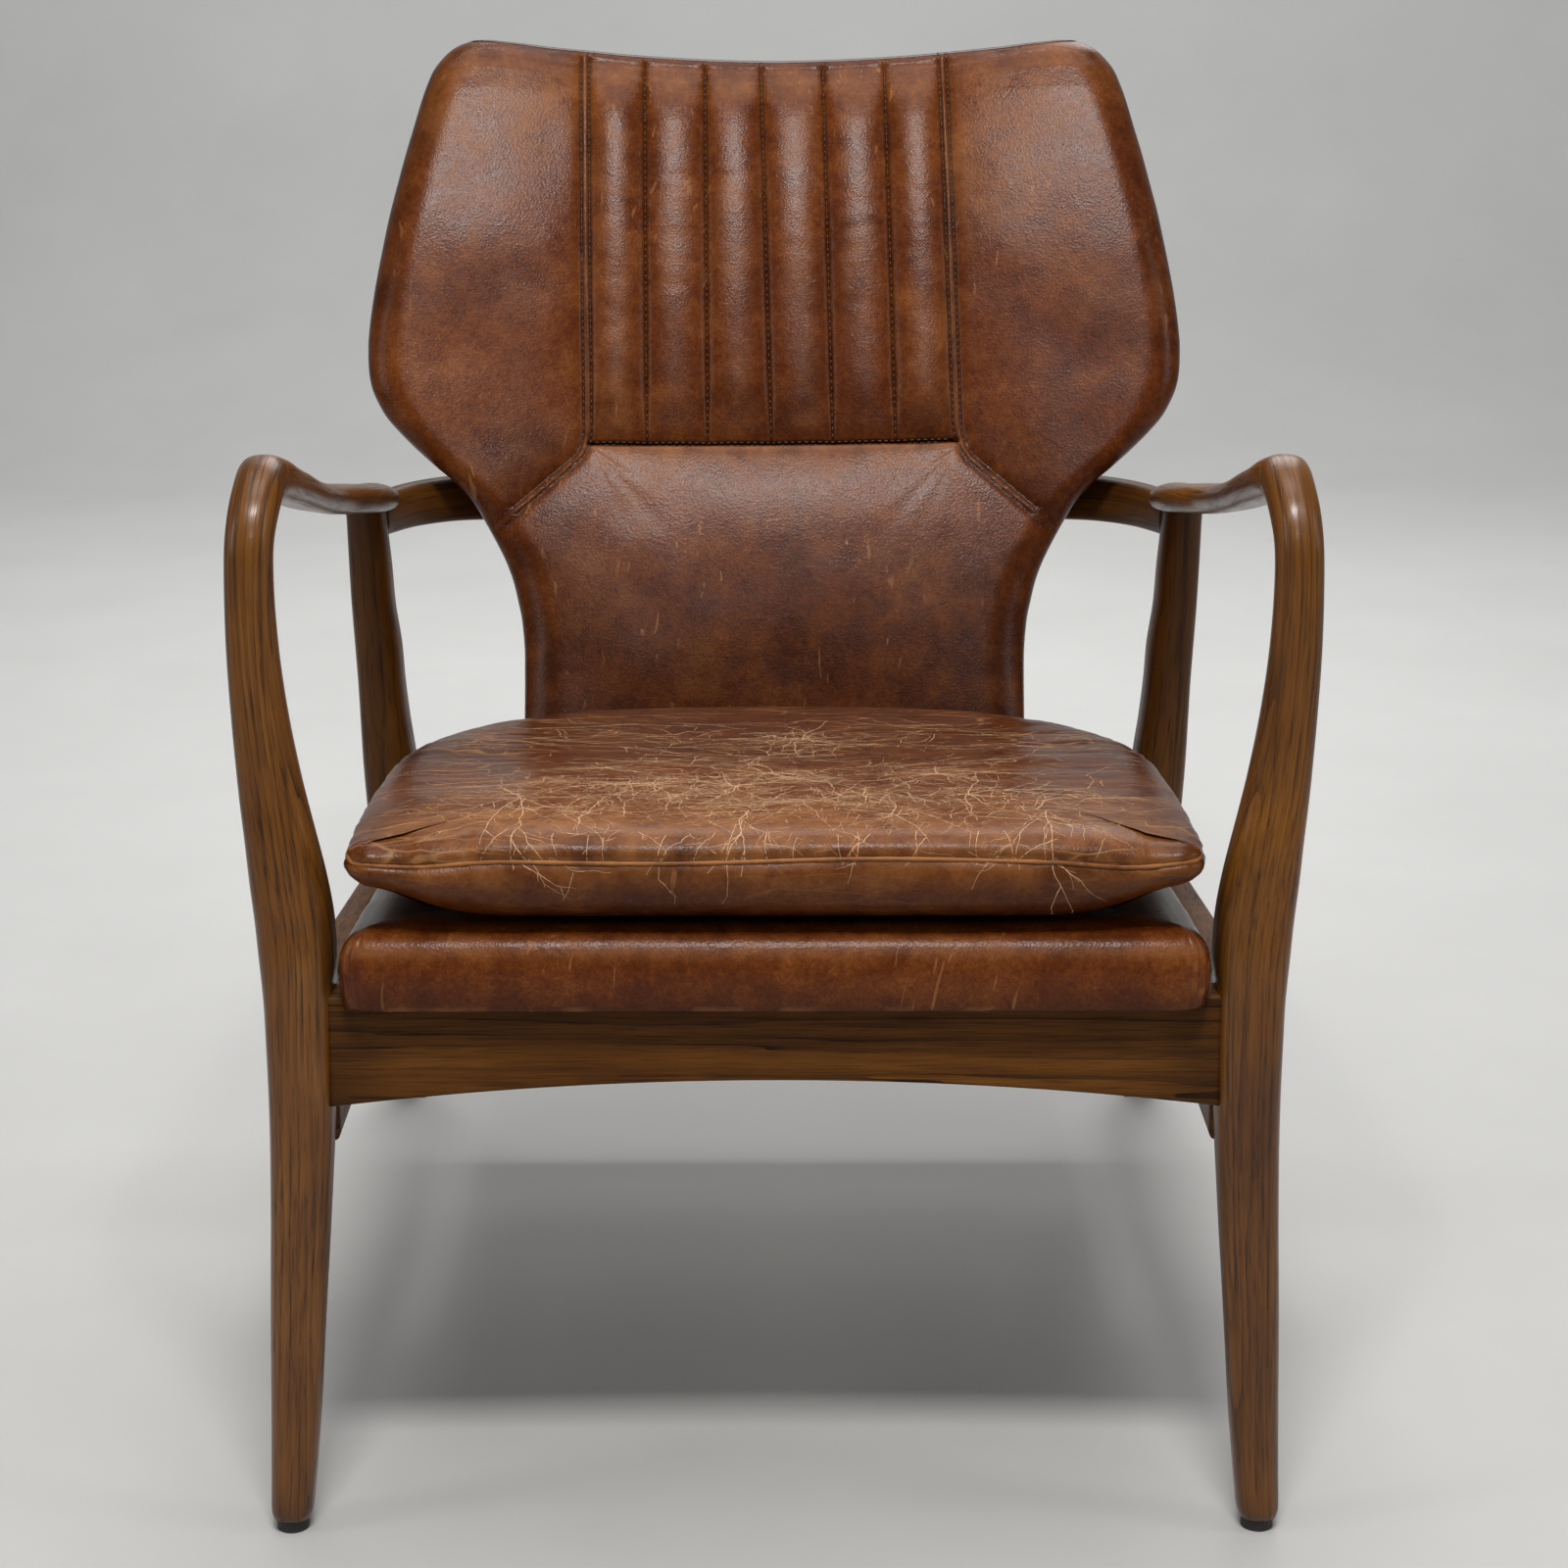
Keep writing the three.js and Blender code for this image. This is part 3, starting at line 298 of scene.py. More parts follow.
def simple(name, base, rough, metal=0.0, nscale=60.0, var=0.25, bump=0.2, bdist=0.0004, stretch=(1, 1, 1)):
    M = Mat(name); P = M.obj(stretch)
    nz = M.noise(P, nscale, 5, 0.65)
    a = tuple(c * (1 - var) for c in base); b = tuple(min(1, c * (1 + var)) for c in base)
    M.link(M.ramp(nz, [(0.3, a), (0.7, b)]), M.b.inputs["Base Color"])
    M.link(M.map(nz, 0.2, 0.8, max(0.05, rough - 0.08), min(1, rough + 0.08)), M.b.inputs["Roughness"])
    M.b.inputs["Metallic"].default_value = metal
    M.link(M.bump(M.noise(P, nscale * 6, 3, 0.6), bump, bdist), M.b.inputs["Normal"])
    return M.m

def weave(name, a, b, step, rough=0.85, rot=0.0):
    """Two crossing sets of threads in the XY plane."""
    M = Mat(name); P = M.obj((1, 1, 1), (0, 0, 0), (0, 0, rot))
    wx = M.n("ShaderNodeTexWave", wave_type="BANDS", bands_direction="X"); M.link(P, wx.inputs[0]); wx.inputs["Scale"].default_value = 0.314 / step; wx.inputs["Distortion"].default_value = 0.4
    wy = M.n("ShaderNodeTexWave", wave_type="BANDS", bands_direction="Y"); M.link(P, wy.inputs[0]); wy.inputs["Scale"].default_value = 0.314 / step; wy.inputs["Distortion"].default_value = 0.4
    h = M.math("MAXIMUM", wx.outputs["Fac"], wy.outputs["Fac"])
    M.link(M.mix(M.mul(h, M.map(M.noise(P, 45.0, 4, 0.6), 0.2, 0.8, 0.6, 1.0)), a, b), M.b.inputs["Base Color"])
    M.b.inputs["Roughness"].default_value = rough
    M.link(M.bump(h, 0.5, 0.0006), M.b.inputs["Normal"])
    return M.m

HIDE = leather("hide_back", rough0=0.29); HIDE_SEAT = leather("hide_seat", crack=True, rough0=0.30); HIDE_DECK = leather("hide_deck", dark=1.12, rough0=0.30)
HIDE_REAR = leather("hide_rear", dark=0.78, rough0=0.42)
# the third ash is a darker, duller copy of the frame ash for the rear legs, rails, bow and other wooden parts: painted
# shade
ASH = wood("ash_frame", 1.0, 230.0); ASH_RAIL = wood("ash_rail", 0.90, 150.0, 1.6, 0.42, 0.12, 0.0); ASH_SHADED = wood("ash_shaded", 0.78, 120.0, 1.0, 0.36, 0.16, 0.0)
THREAD = simple("thread_brown", (0.088, 0.034, 0.013), 0.6, 0, 900, 0.4)
RAW = simple("raw_timber", (0.36, 0.22, 0.11), 0.75, 0, 30, 0.25, 0.3, 0.0005, (1, 0.2, 1))
PLY = simple("plywood", (0.42, 0.28, 0.15), 0.7, 0, 40, 0.2, 0.2, 0.0004, (0.2, 1, 1))
STEELM = simple("zinc_steel", (0.42, 0.42, 0.40), 0.38, 1.0, 200, 0.15, 0.1, 0.0002)
GLIDEM = simple("glide_plastic", (0.018, 0.014, 0.011), 0.6, 0, 300, 0.4, 0.3, 0.0003)
FOAMM = simple("foam", (0.62, 0.48, 0.24), 0.95, 0, 300, 0.15, 0.6, 0.0008)
WEBM = weave("webbing_weave", (0.02, 0.014, 0.010), (0.10, 0.065, 0.04), 0.0024)
CLOTHM = weave("dust_cloth_weave", (0.006, 0.006, 0.006), (0.030, 0.028, 0.027), 0.0016)
ZIPM = simple("zip_brass", (0.20, 0.13, 0.05), 0.45, 0.9, 400, 0.3)

# ------------------------------------------------------------------ swept wooden members
def superell(n, e):
    a = 2 * np.pi * (np.arange(n) + 0.5) / n; ca, sa = np.cos(a), np.sin(a)
    return np.sign(ca) * np.abs(ca) ** (2 / e), np.sign(sa) * np.abs(sa) ** (2 / e)

def sweep(name, C, EX, EY, W, D, E, S, mat, nodes, n=44, burnish_and_shade=None, wear_and_highlight=None, gshift=(0, 0, 0), flip=False, caps=True):
    """C centre (R,3) mm with depth from the front feet; EX, EY unit axes; W, D sizes; E powers; S run length in mm."""
    R = len(C); V = np.zeros((R, n, 3)); G = np.zeros((R, n, 3))
    for i in range(R):
        u, v = superell(n, E[i]); u = u * W[i] / 2; v = v * D[i] / 2
        V[i] = C[i] + np.outer(u, EX[i]) + np.outer(v, EY[i])
        G[i, :, 0] = u; G[i, :, 1] = v; G[i, :, 2] = S[i]
    sgn = -1 if flip else 1
    V[..., 0] *= sgn
    verts = V.reshape(-1, 3) / 1000; verts[:, 1] -= YM
    G = G.reshape(-1, 3) / 1000 + np.array(gshift)
    faces = ringfaces(R, n)
    vs, gs = [verts], [G]
    base = R * n
    # flat end caps: two inner rings and a middle point
    for end, i0 in ((0, 0), (1, R - 1)):
        c = V[i0].mean(0); t = (V[i0] - c)
        prev = i0 * n
        for q in (0.82, 0.5):
            vv = (c + t * q) / 1000; vv[:, 1] -= YM
            vs.append(vv); gs.append(G[i0 * n:(i0 + 1) * n] * [q, q, 1] + np.array(gshift) * (1 - q))
            for k in range(n):
                f = (prev + k, prev + (k + 1) % n, base + (k + 1) % n, base + k)
                faces.append(tuple(reversed(f)) if end == 0 else f)
            prev = base; base += n
        vv = (c / 1000)[None]; vv = vv.copy(); vv[:, 1] -= YM; vs.append(vv); gs.append(G[i0 * n:(i0 + 1) * n].mean(0)[None])
        for k in range(n):
            f = (prev + k, prev + (k + 1) % n, base)
            faces.append(tuple(reversed(f)) if end == 0 else f)
        base += 1
    verts = np.concatenate(vs); G = np.concatenate(gs)
    faces = outward(verts, faces)
    X = verts.copy(); X[:, 1] += YM
    b = burnish_and_shade(X, G) if burnish_and_shade else np.zeros(len(verts)); w = wear_and_highlight(X, G) if wear_and_highlight else np.zeros(len(verts))
    ob = make(name, verts, faces, mat, {"grain": G, "burnish_and_shade": b, "wear_and_highlight": w})
    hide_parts(*nodes)
    return ob

FL = np.array([[8, 296.5, 272, 0, 26], [61, 294.3, 266.2, 2, 28], [136, 291.4, 260, 4, 32], [209.5, 288, 253.9, 6, 37],
  [257.5, 286.6, 250.5, 8, 41], [305, 286.4, 249, 9, 44], [328, 286.9, 248, 10, 44], [351, 288.3, 246.3, 10, 43],
  [374, 290, 247.2, 11, 41], [397, 292.1, 250.3, 11, 38], [420, 293.7, 254.8, 11, 35], [442, 295.6, 259.5, 12, 32.5],
  [465, 296.9, 263.6, 12, 30.5], [487, 297.9, 266.9, 12, 29], [531, 298.9, 271.1, 12, 28], [574, 297.8, 271.7, 12, 28]], float)
KN = np.array([[20, 297, 271, 28], [40, 296, 269.6, 27.5], [60, 295, 268.6, 27], [80, 295, 268.4, 26.4], [100, 295.5, 268.8, 25.6]], float)

def front_leg(side, flip):
    R0, ky, kz = 40.0, 52.0, 574.0
    s_tab = np.r_[FL[:, 0], kz + np.radians(KN[:, 0]) * R0]
    xo = np.r_[FL[:, 1], KN[:, 1]]; xi = np.r_[FL[:, 2], KN[:, 2]]; dd = np.r_[FL[:, 4], KN[:, 3]]
    s = np.r_[np.linspace(8, 574, 150), 574 + np.radians(np.linspace(1, 100, 56)) * R0]
    XO, XI, D = catmull(s_tab, xo, s), catmull(s_tab, xi, s), catmull(s_tab, dd, s)
    C, EX, EY = [], [], []
    for k, q in enumerate(s):
        if q <= 574:
            C.append([(XO[k] + XI[k]) / 2, float(pchip(FL[:, 0], FL[:, 3], q)), q]); EY.append([0, 1, 0])
        else:
            p = (q - 574) / R0; C.append([(XO[k] + XI[k]) / 2, ky - R0 * math.cos(p), kz + R0 * math.sin(p)]); EY.append([0, math.cos(p), -math.sin(p)])
        EX.append([1, 0, 0])
    E = np.interp(s, [8, 60, 180, 300, 420, 560, 640], [2.5, 2.6, 3.2, 3.6, 3.0, 2.5, 2.6])
    W = XO - XI
    # eased arris at the foot
    W = W * np.interp(s, [8, 10, 14], [0.90, 0.97, 1.0]); D = D * np.interp(s, [8, 10, 14], [0.90, 0.97, 1.0])
    def burnish_and_shade(X, G):
        z = X[:, 2]; ax = np.abs(X[:, 0])
        # painted shade: a dark band down the inner face where the deck and the rail meet the leg
        b = 0.55 * np.exp(-((ax - 0.247) / 0.006) ** 2) * smooth(0.325, 0.345, z) * (1 - smooth(0.372, 0.40, z))
        b += 0.35 * (1 - smooth(0.008, 0.03, z))
        edge = np.maximum(0, np.abs(G[:, 0] - (0.0 if not flip else 0.0)) / 0.02 - 0.6)
        return np.clip(b + 0.10 * n2(X[:, 2], X[:, 0], 30, 60, 3) * (edge > 0), 0, 1)
    def wear_and_highlight(X, G):
        z = X[:, 2]
        w = 0.25 + 0.75 * (1 - smooth(0.02, 0.10, z))
        w += 0.9 * np.exp(-((z - 0.60) / 0.02) ** 2)
        if flip: w += 0.8 * smooth(0.30, 0.40, z) * (1 - smooth(0.5, 0.56, z))
        return np.clip(w, 0, 1.3)
    return sweep(f"front_leg_{side}_ash", np.array(C), np.array(EX, float), np.array(EY, float), W, D, E, s, ASH,
                 [f"front_leg_{side}"], burnish_and_shade=burnish_and_shade, wear_and_highlight=wear_and_highlight, gshift=(0.013 if flip else -0.006, 0.004, 0.31 if flip else 0.0), flip=flip)

ARM = np.array([[59.6, 626, 268.8, 295.5, 25.6, 0], [80, 621.2, 268.5, 296.5, 24, 0], [120, 610.5, 269.5, 299, 22, 2], [165, 599.5, 270.5, 301, 20.5, 4],
  [205, 589.5, 272, 302.5, 20, 5], [250, 579.5, 274.5, 304, 19.5, 7], [300, 569.5, 278, 305, 19.5, 9], [340, 561.5, 279.5, 305.5, 19.5, 10],
  [375, 555, 277, 305.5, 19.5, 9], [410, 549, 270, 305.5, 19.5, 7], [440, 543.8, 264, 305.5, 19.5, 5], [470, 538.8, 261.5, 305, 19.5, 3],
  [495, 534.8, 264.5, 304.5, 19.5, 1], [515, 531.8, 270, 303.5, 19, 0], [529, 529.8, 276, 302, 18, 0]], float)

def arm(side, flip):
    y = np.r_[np.linspace(59.6, 515, 150), np.linspace(516, 529, 12)]
    zt, xi, xo, t, roll = [catmull(ARM[:, 0], ARM[:, k], y) for k in range(1, 6)]
    sl = np.gradient(zt, y); sl[0] = -math.tan(math.radians(10))
    b = np.arctan(sl); r = np.radians(roll)
    nY, nZ = -np.sin(b), np.cos(b)
    EX = np.stack([np.cos(r), nY * np.sin(r), nZ * np.sin(r)], -1); EY = np.stack([-np.sin(r), nY * np.cos(r), nZ * np.cos(r)], -1)
    C = np.stack([(xi + xo) / 2, y, zt - t / 2 * nZ], -1)
    endr = np.interp(y, [521, 526, 529], [1, 0.93, 0.78])
    E = np.interp(y, [59, 120, 300, 470, 529], [2.6, 2.7, 2.8, 2.5, 2.4])
    # painted shade: darker towards the rear of the arm, more so on its underside
    def burnish_and_shade(X, G): return np.clip(0.55 * smooth(0.36, 0.50, X[:, 1]) * 0.6 + 0.25 * smooth(0.3, 0.45, X[:, 1]) * (G[:, 1] < 0), 0, 1)
    return sweep(f"arm_{side}_ash", C, EX, EY, (xo - xi) * endr, t * endr, E, y, ASH, [f"arm_{side}"],
                 burnish_and_shade=burnish_and_shade, wear_and_highlight=lambda X, G: 0.35 + 0 * X[:, 0], gshift=(0.021, -0.008 if flip else 0.006, 1.7 if flip else 1.2), flip=flip)

RL = np.array([[8, 310, 284.5, 697, 29], [70, 309.5, 281.5, 673, 32], [140, 309, 277, 646, 35], [210, 308.8, 271.5, 618, 39],
  [260, 308.6, 269, 598, 41], [316, 308, 269, 576.5, 39], [348, 307, 271, 564.5, 36], [379, 306, 272, 552.5, 34],
  [410, 305.5, 272, 540.5, 32], [441, 305, 274, 528.5, 31], [471, 304, 274, 517, 30], [508, 302.5, 275, 503, 30]], float)

def rear_leg(side, flip):
    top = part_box(f"rear_leg_{side}")[1].z * 1000 + 11.5; s = np.r_[np.linspace(8, 500, 118), np.linspace(502, top, 8)]
    xo, xi, yc, d = [catmull(RL[:, 0], RL[:, k], np.minimum(s, 508)) for k in range(1, 5)]; yc = yc - np.maximum(0, s - 508) * 0.38
    C = np.stack([(xo + xi) / 2, yc, s], -1)
    EX = np.tile([1.0, 0, 0], (len(s), 1)); EY = np.tile([0, 1.0, 0], (len(s), 1))
    E = np.interp(s, [8, 100, 300, 508], [2.5, 2.7, 3.2, 2.8]); f = np.interp(s, [8, 10, 14], [0.9, 0.97, 1])
    # painted shade high on the leg, just under the arm; the foot is darker too
    def burnish_and_shade(X, G): return np.clip(0.04 + 0.30 * smooth(0.47, 0.51, X[:, 2]) + 0.3 * (1 - smooth(0.008, 0.03, X[:, 2])), 0, 1)
    return sweep(f"rear_leg_{side}_ash", C, EX, EY, (xo - xi) * f, d * f, E, s, ASH_SHADED, [f"rear_leg_{side}"],
                 burnish_and_shade=burnish_and_shade, wear_and_highlight=lambda X, G: 0.3 + 0 * X[:, 0], gshift=(0.01 if flip else -0.012, 0.02, 2.4 if flip else 3.1), flip=flip)

for side, flip in (("left", False), ("right", True)):
    front_leg(side, flip); arm(side, flip); rear_leg(side, flip)

BOW = np.array([[289, 516, 506, 30], [279, 543, 506.5, 31], [264, 569, 507, 32], [240, 592, 507, 33], [195, 610, 506, 34], [140, 622, 505, 34], [70, 629.5, 504, 34], [0, 631.5, 504, 34]], float)
def bow():
    P = np.concatenate([BOW * [-1, 1, 1, 1], BOW[::-1][1:]])
    q = np.r_[0, np.cumsum(np.hypot(np.diff(P[:, 0]), np.diff(P[:, 1])))]
    # the ends stop just behind the rear legs
    s = np.linspace(8.5, q[-1] - 8.5, 190)
    x, y, z, h = [catmull(q, P[:, k], s) for k in range(4)]
    tx, ty = np.gradient(x, s), np.gradient(y, s); L = np.hypot(tx, ty)
    EX = np.stack([-ty / L, tx / L, 0 * x], -1); EY = np.tile([0, 0, 1.0], (len(s), 1))
    C = np.stack([x, y, z], -1); E = np.full(len(s), 3.0)
    # painted shade: the bow rail is darkened all over
    return sweep("back_bow_rail_ash", C, EX, EY, np.full(len(s), 21.0), h, E, s, ASH_SHADED, ["back_bow_rail"],
                 burnish_and_shade=lambda X, G: 0.25 + 0 * X[:, 0], wear_and_highlight=lambda X, G: 0.2 + 0 * X[:, 0], gshift=(0.01, 0.0, 5.0))
bow()

# ------------------------------------------------------------------ straight rails
def plank(name, node, mat, xs, prof, nx, burnish_and_shade=None, wear_and_highlight=None, gshift=(0, 0, 0), axis=0):
    """A member whose section (closed list of points) is given along one axis by prof(s) -> (m,2)."""
    V, G = [], []
    for s in xs:
        p = prof(s); m = len(p)
        for q in p:
            if axis == 0: V.append((s, q[0], q[1]))
            else: V.append((q[0], s, q[1]))
            G.append((q[0], q[1], s))
    V = np.array(V) / 1000; G = np.array(G) / 1000; V[:, 1] -= YM
    G = G - [G[:, 0].mean(), G[:, 1].mean(), 0] + np.array(gshift)
    R = len(xs); faces = ringfaces(R, m)
    # flat end faces as fans
    for i0, rev in ((0, True), ((R - 1) * m, False)):
        c = len(V); V = np.vstack([V, V[i0:i0 + m].mean(0)]); G = np.vstack([G, G[i0:i0 + m].mean(0)])
        for k in range(m):
            f = (i0 + k, i0 + (k + 1) % m, c); faces.append(tuple(reversed(f)) if rev else f)
    faces = outward(V, faces)
    X = V.copy(); X[:, 1] += YM
    ob = make(name, V, faces, mat, {"grain": G, "burnish_and_shade": burnish_and_shade(X) if burnish_and_shade else np.zeros(len(V)), "wear_and_highlight": wear_and_highlight(X) if wear_and_highlight else np.full(len(V), 0.4)})
    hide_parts(node)
    return ob

def rrect(x0, x1, z0, z1, r, k=5):
    """Rounded rectangle as a list of points."""
    P = []
    for cx, cz, a0 in ((x1 - r, z1 - r, 0), (x0 + r, z1 - r, 90), (x0 + r, z0 + r, 180), (x1 - r, z0 + r, 270)):
        for i in range(k + 1):
            a = math.radians(a0 + 90 * i / k); P.append((cx + r * math.cos(a), cz + r * math.sin(a)))
    return np.array(P)

def fr_prof(x):
    t = min(1, abs(x) / 253.0)
    e = min(1, (253.0 - abs(x)) / 3)
    return rrect(-5, 19, 281 - 16 * t * t, 332.3, 3.2)

# the front rail's ends are cut by the legs' inner faces, so it stops just short of them
LEGIN = lambda z: float(np.interp(z, FL[:, 0], FL[:, 2]))
b0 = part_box("front_rail")
RX = b0[1].x * 1000
# painted shade on the front rail: darker at its ends by the legs, along its bottom edge, and along its top under the
# deck's overhang
plank("front_rail_ash", "front_rail", ASH_RAIL, np.linspace(-RX + 0.05, RX - 0.05, 121), fr_prof, 0,
      burnish_and_shade=lambda X: np.clip(0.35 * smooth(0.205, 0.245, np.abs(X[:, 0])) + 0.28 * (1 - smooth(0.268, 0.285, X[:, 2])) + 0.25 * smooth(0.318, 0.331, X[:, 2]), 0, 1), gshift=(0.03, 0.012, 0.4))

def side_rail(side, sg):
    def prof(y):
        top = 332.3 + 4.2 - 0.0943 * y
        bot = float(np.interp(y, [19.4, 300, 570.6], [236, 240, 224]))
        p = rrect(250, 272, bot, top, 3); p[:, 0] *= sg
        return p
    # painted shade: the side rails are darkened all over
    plank(f"side_rail_{side}_ash", f"side_rail_{side}", ASH_SHADED, np.linspace(19.5, 570.5, 80), prof, 0, axis=1, gshift=(0.02 * sg, 0.02, 0.9),
          burnish_and_shade=lambda X: np.full(len(X), 0.12))
side_rail("left", 1); side_rail("right", -1)
# painted shade: the rear rail is darkened all over
plank("rear_rail_ash", "rear_rail", ASH_SHADED, np.linspace(-249.5, 249.5, 60), lambda x: rrect(571, 595, 218, 282, 3), 0, gshift=(0.01, 0.03, 2.2), burnish_and_shade=lambda X: np.full(len(X), 0.15))

# ------------------------------------------------------------------ the back
BPZ = np.array([[330, 180.8], [375, 180.8], [401.5, 181], [428, 183.2], [441, 186], [455, 189.6], [468, 194.6], [481.6, 201.6], [495, 209.2], [509, 218.2], [526, 234],
  [536, 246.2], [550, 261.9], [560, 272], [570.5, 281.2], [581, 287.4], [591, 291.8], [601, 294], [611, 294.8], [621, 295], [631, 294.3], [651, 291.9], [671, 288.6],
  [691, 284.8], [711.5, 280.6], [732, 275.4], [752, 270.2], [772, 264.4], [793, 258.2], [804, 254.2], [812, 250.6], [820, 244.4], [826, 238], [830, 231], [833, 222]])
BTOP = np.array([[0, 816.4], [40, 817.4], [80, 819.4], [110, 821.6], [137, 824.3], [166, 827.2], [195, 831], [215, 832.6], [225, 832.4], [300, 832.4]])
hwz = lambda z: pchip(BPZ[:, 0], BPZ[:, 1], z)
topx = lambda x: pchip(BTOP[:, 0], BTOP[:, 1], np.abs(x))
frontY = lambda x, z: 500 + 0.39 * (z - 371) - 30 * (np.minimum(np.abs(x), 290) / 290) ** 2
def thick(x, z):
    u = np.minimum(np.abs(x) / hwz(z), 1)
    return (64 - 20 * u * u) * (1 - 0.16 * np.clip((z - 560) / 272, 0, 1))

# seams in the back's front face, (X, Z) in mm
CH = [((-95.3, -92.6)), (-50.9, -48.4), (-10.0, -2.1), (35.8, 42.7), (81.0, 88.3)]
ZL0 = 553.0
ZLX = lambda x: 551.0 + 2.4 * (np.clip(x, -150, 150) / 134) ** 2 + 1.1 * np.clip(x, -150, 150) / 134
def seamx(top, bot, z): return bot + (top - bot) * np.clip((z - ZL0) / (820 - ZL0), -0.1, 1.1)
DBL_L = (-139.1, -135.3); DBL_R = (124.0, 133.2)
def seg_dist(x, z, a, b):
    ax, az = a; bx, bz = b
    t = np.clip(((x - ax) * (bx - ax) + (z - az) * (bz - az)) / ((bx - ax) ** 2 + (bz - az) ** 2), 0, 1)
    return np.hypot(x - ax - t * (bx - ax), z - az - t * (bz - az))
# double seam on each side: down from the crest, a soft turn, then out to the outline
def dbl_path(sg):
    if sg < 0: top, bot = DBL_L
    else: top, bot = DBL_R
    P = [(seamx(top, bot, z), z) for z in np.linspace(829, 566, 60)]
    p0 = np.array(P[-1]); c = np.array([sg * 134.5, 549.0]); p2 = np.array([sg * 146.0, 540.5])
    for t in np.linspace(0.1, 1, 9): P.append(tuple((1 - t) ** 2 * p0 + 2 * t * (1 - t) * c + t * t * p2))
    e = np.array([sg * 207.0, 492.0])
    for t in np.linspace(0.05, 1, 20): P.append(tuple(p2 + (e - p2) * t))
    return np.array(P)
DPL, DPR = dbl_path(-1), dbl_path(1)

def path_dist(x, z, P):
    """Signed distance to a polyline and the running length at the nearest point."""
    x = np.asarray(x, float); z = np.asarray(z, float)
    best = np.full(x.shape, 1e9); sgn = np.zeros(x.shape); run = np.zeros(x.shape); acc = 0.0
    for a, b in zip(P[:-1], P[1:]):
        d = b - a; L = np.hypot(*d)
        t = np.clip(((x - a[0]) * d[0] + (z - a[1]) * d[1]) / (L * L), 0, 1)
        dx, dz = x - a[0] - t * d[0], z - a[1] - t * d[1]; q = np.hypot(dx, dz)
        m = q < best
        best = np.where(m, q, best); sgn = np.where(m, np.sign(d[0] * dz - d[1] * dx), sgn); run = np.where(m, acc + t * L, run); acc += L
    return best * np.where(sgn == 0, 1, sgn), run

